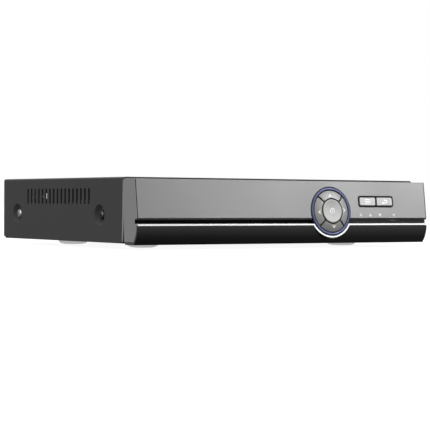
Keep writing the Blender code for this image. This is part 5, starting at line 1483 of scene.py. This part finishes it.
def disk_label():
    low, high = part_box("hard_disk")
    place = Matrix.Translation((*middle_of("hard_disk").xy, high.z)) @ Matrix.Scale(MM, 4)
    shape = rounded_rectangle((high.x - low.x) * 0.55 / MM, (high.y - low.y) * 0.7 / MM, 3, count=6)
    Stock(place).plate([shape], 0.01, 0.07, 0.02).piece("disk_label", LABEL)


def inside():
    fan()
    board_parts()
    disk_label()


# ---------------------------------------------------------------- stage

CAMERA = Vector((-0.6706, FRONT_Y - 0.9437, FLOOR_Z + 0.0285))
YAW, PITCH, ROLL = (math.radians(angle) for angle in (33.206, -0.451, 0.319))
FOCAL = 3.7014  # focal length as a multiple of the picture's width
SENSOR = 36.0


def camera():
    forward = Vector((math.sin(YAW) * math.cos(PITCH), math.cos(YAW) * math.cos(PITCH), math.sin(PITCH)))
    level = Vector((math.cos(YAW), -math.sin(YAW), 0))
    upward = level.cross(forward)
    right = level * math.cos(ROLL) + upward * math.sin(ROLL)
    up = upward * math.cos(ROLL) - level * math.sin(ROLL)
    data = bpy.data.cameras.new("camera")
    data.sensor_width = SENSOR
    data.lens = FOCAL * SENSOR
    data.clip_start, data.clip_end = 0.05, 50
    made = bpy.data.objects.new("camera", data)
    bpy.context.scene.collection.objects.link(made)
    turn = Matrix((right, up, -forward)).transposed()
    made.matrix_world = Matrix.Translation(CAMERA) @ turn.to_4x4()
    bpy.context.scene.camera = made


def backdrop():
    """A pale floor that reaches the horizon and takes only a faint contact shadow."""
    reach, depth, clear = 12, 0.02, 0.1 * MM
    floor = Stock().block((-reach, -reach, -depth), (reach, reach, -clear)).object("floor")
    shader = Shader("pale_floor")
    cloud = shader.noise(0.4, 2.0)
    base = shader.mix(cloud, (0.13, 0.13, 0.13), (0.15, 0.15, 0.15))
    shader.done(Base_Color=base, Roughness=0.9, Emission_Color=(1, 1, 1), Emission_Strength=0.93)
    floor.data.materials.append(shader.material)
    floor.visible_glossy = False
    floor.visible_diffuse = False


# Brightness of the studio around the object, from straight down (0) to straight up (1)
SEEN_IN_GLOSS = ((0.0, 0.01), (0.20, 0.09), (0.46, 0.34), (0.55, 0.42), (0.75, 0.48), (1.0, 0.55))
LIGHT_FROM = ((0.0, 0.22), (0.45, 0.22), (0.55, 0.32), (1.0, 0.50))


def world():
    """White behind the object, with softer, graded surrounds for its light and for its reflections."""
    made = bpy.data.worlds.new("studio")
    bpy.context.scene.world = made
    made.use_nodes = True
    tree = made.node_tree
    where = tree.nodes.new("ShaderNodeTexCoord")
    parts = tree.nodes.new("ShaderNodeSeparateXYZ")
    tree.links.new(where.outputs["Generated"], parts.inputs[0])
    height = tree.nodes.new("ShaderNodeMapRange")
    height.inputs["From Min"].default_value = -1.0
    tree.links.new(parts.outputs[2], height.inputs["Value"])
    gloss_seen = brightness_ramp(tree, height.outputs[0], SEEN_IN_GLOSS)
    lit_by = brightness_ramp(tree, height.outputs[0], LIGHT_FROM)
    path = tree.nodes.new("ShaderNodeLightPath")
    inner = blend(tree, path.outputs["Is Glossy Ray"], lit_by, gloss_seen)
    outer = blend(tree, path.outputs["Is Camera Ray"], inner, None)
    tree.links.new(outer, tree.nodes["Background"].inputs["Color"])


def brightness_ramp(tree, value, stops):
    ramp = tree.nodes.new("ShaderNodeValToRGB")
    tree.links.new(value, ramp.inputs[0])
    elements = ramp.color_ramp.elements
    elements.remove(elements[0])
    for place, level in stops:
        elements.new(place).color = (level, level, level, 1)
    elements[-1].color = elements[-2].color  # the ramp's own last stop, in the same place
    return ramp.outputs[0]


def blend(tree, share, first, second):
    """The first colour, or the second (white if there is none) where the share is 1."""
    mix = tree.nodes.new("ShaderNodeMix")
    mix.data_type = "RGBA"
    tree.links.new(share, mix.inputs[0])
    tree.links.new(first, mix.inputs[6])
    mix.inputs[7].default_value = (1, 1, 1, 1)
    if second:
        tree.links.new(second, mix.inputs[7])
    return mix.outputs[2]


def softbox(name, place, aim, size, power, spread=180):
    data = bpy.data.lights.new(name, "AREA")
    data.spread = math.radians(spread)
    data.shape = "RECTANGLE"
    data.size, data.size_y = size
    data.energy = power
    made = bpy.data.objects.new(name, data)
    bpy.context.scene.collection.objects.link(made)
    made.location = place
    made.rotation_mode = "QUATERNION"
    made.rotation_quaternion = (Vector(aim) - Vector(place)).to_track_quat("-Z", "Y")


def lights():
    softbox("key_light", (0.52, -0.64, 0.32), (0.085, -0.10, 0.03), (0.30, 0.30), 0.155, 40)
    softbox("top_light", (0.0, -0.1, 1.3), (0, 0, 0), (1.2, 1.0), 5)
    softbox("left_light", (-1.4, 0.0, 0.5), (0, 0, 0.02), (0.8, 0.8), 4.8)
    softbox("rear_light", (0.4, 1.5, 0.7), (0, 0, 0.02), (1.0, 0.7), 5)
    view = bpy.context.scene.view_settings
    view.view_transform = "Standard"
    view.look = "None"


dress_cad_nodes()
cover()
case_screws()
feet()
panel()
seams()
side_lips()
joint_shade_strips()
fascia()
groove_liner()
infrared_window()
trim()
keypad()
sockets()
inside()
backdrop()
world()
camera()
lights()
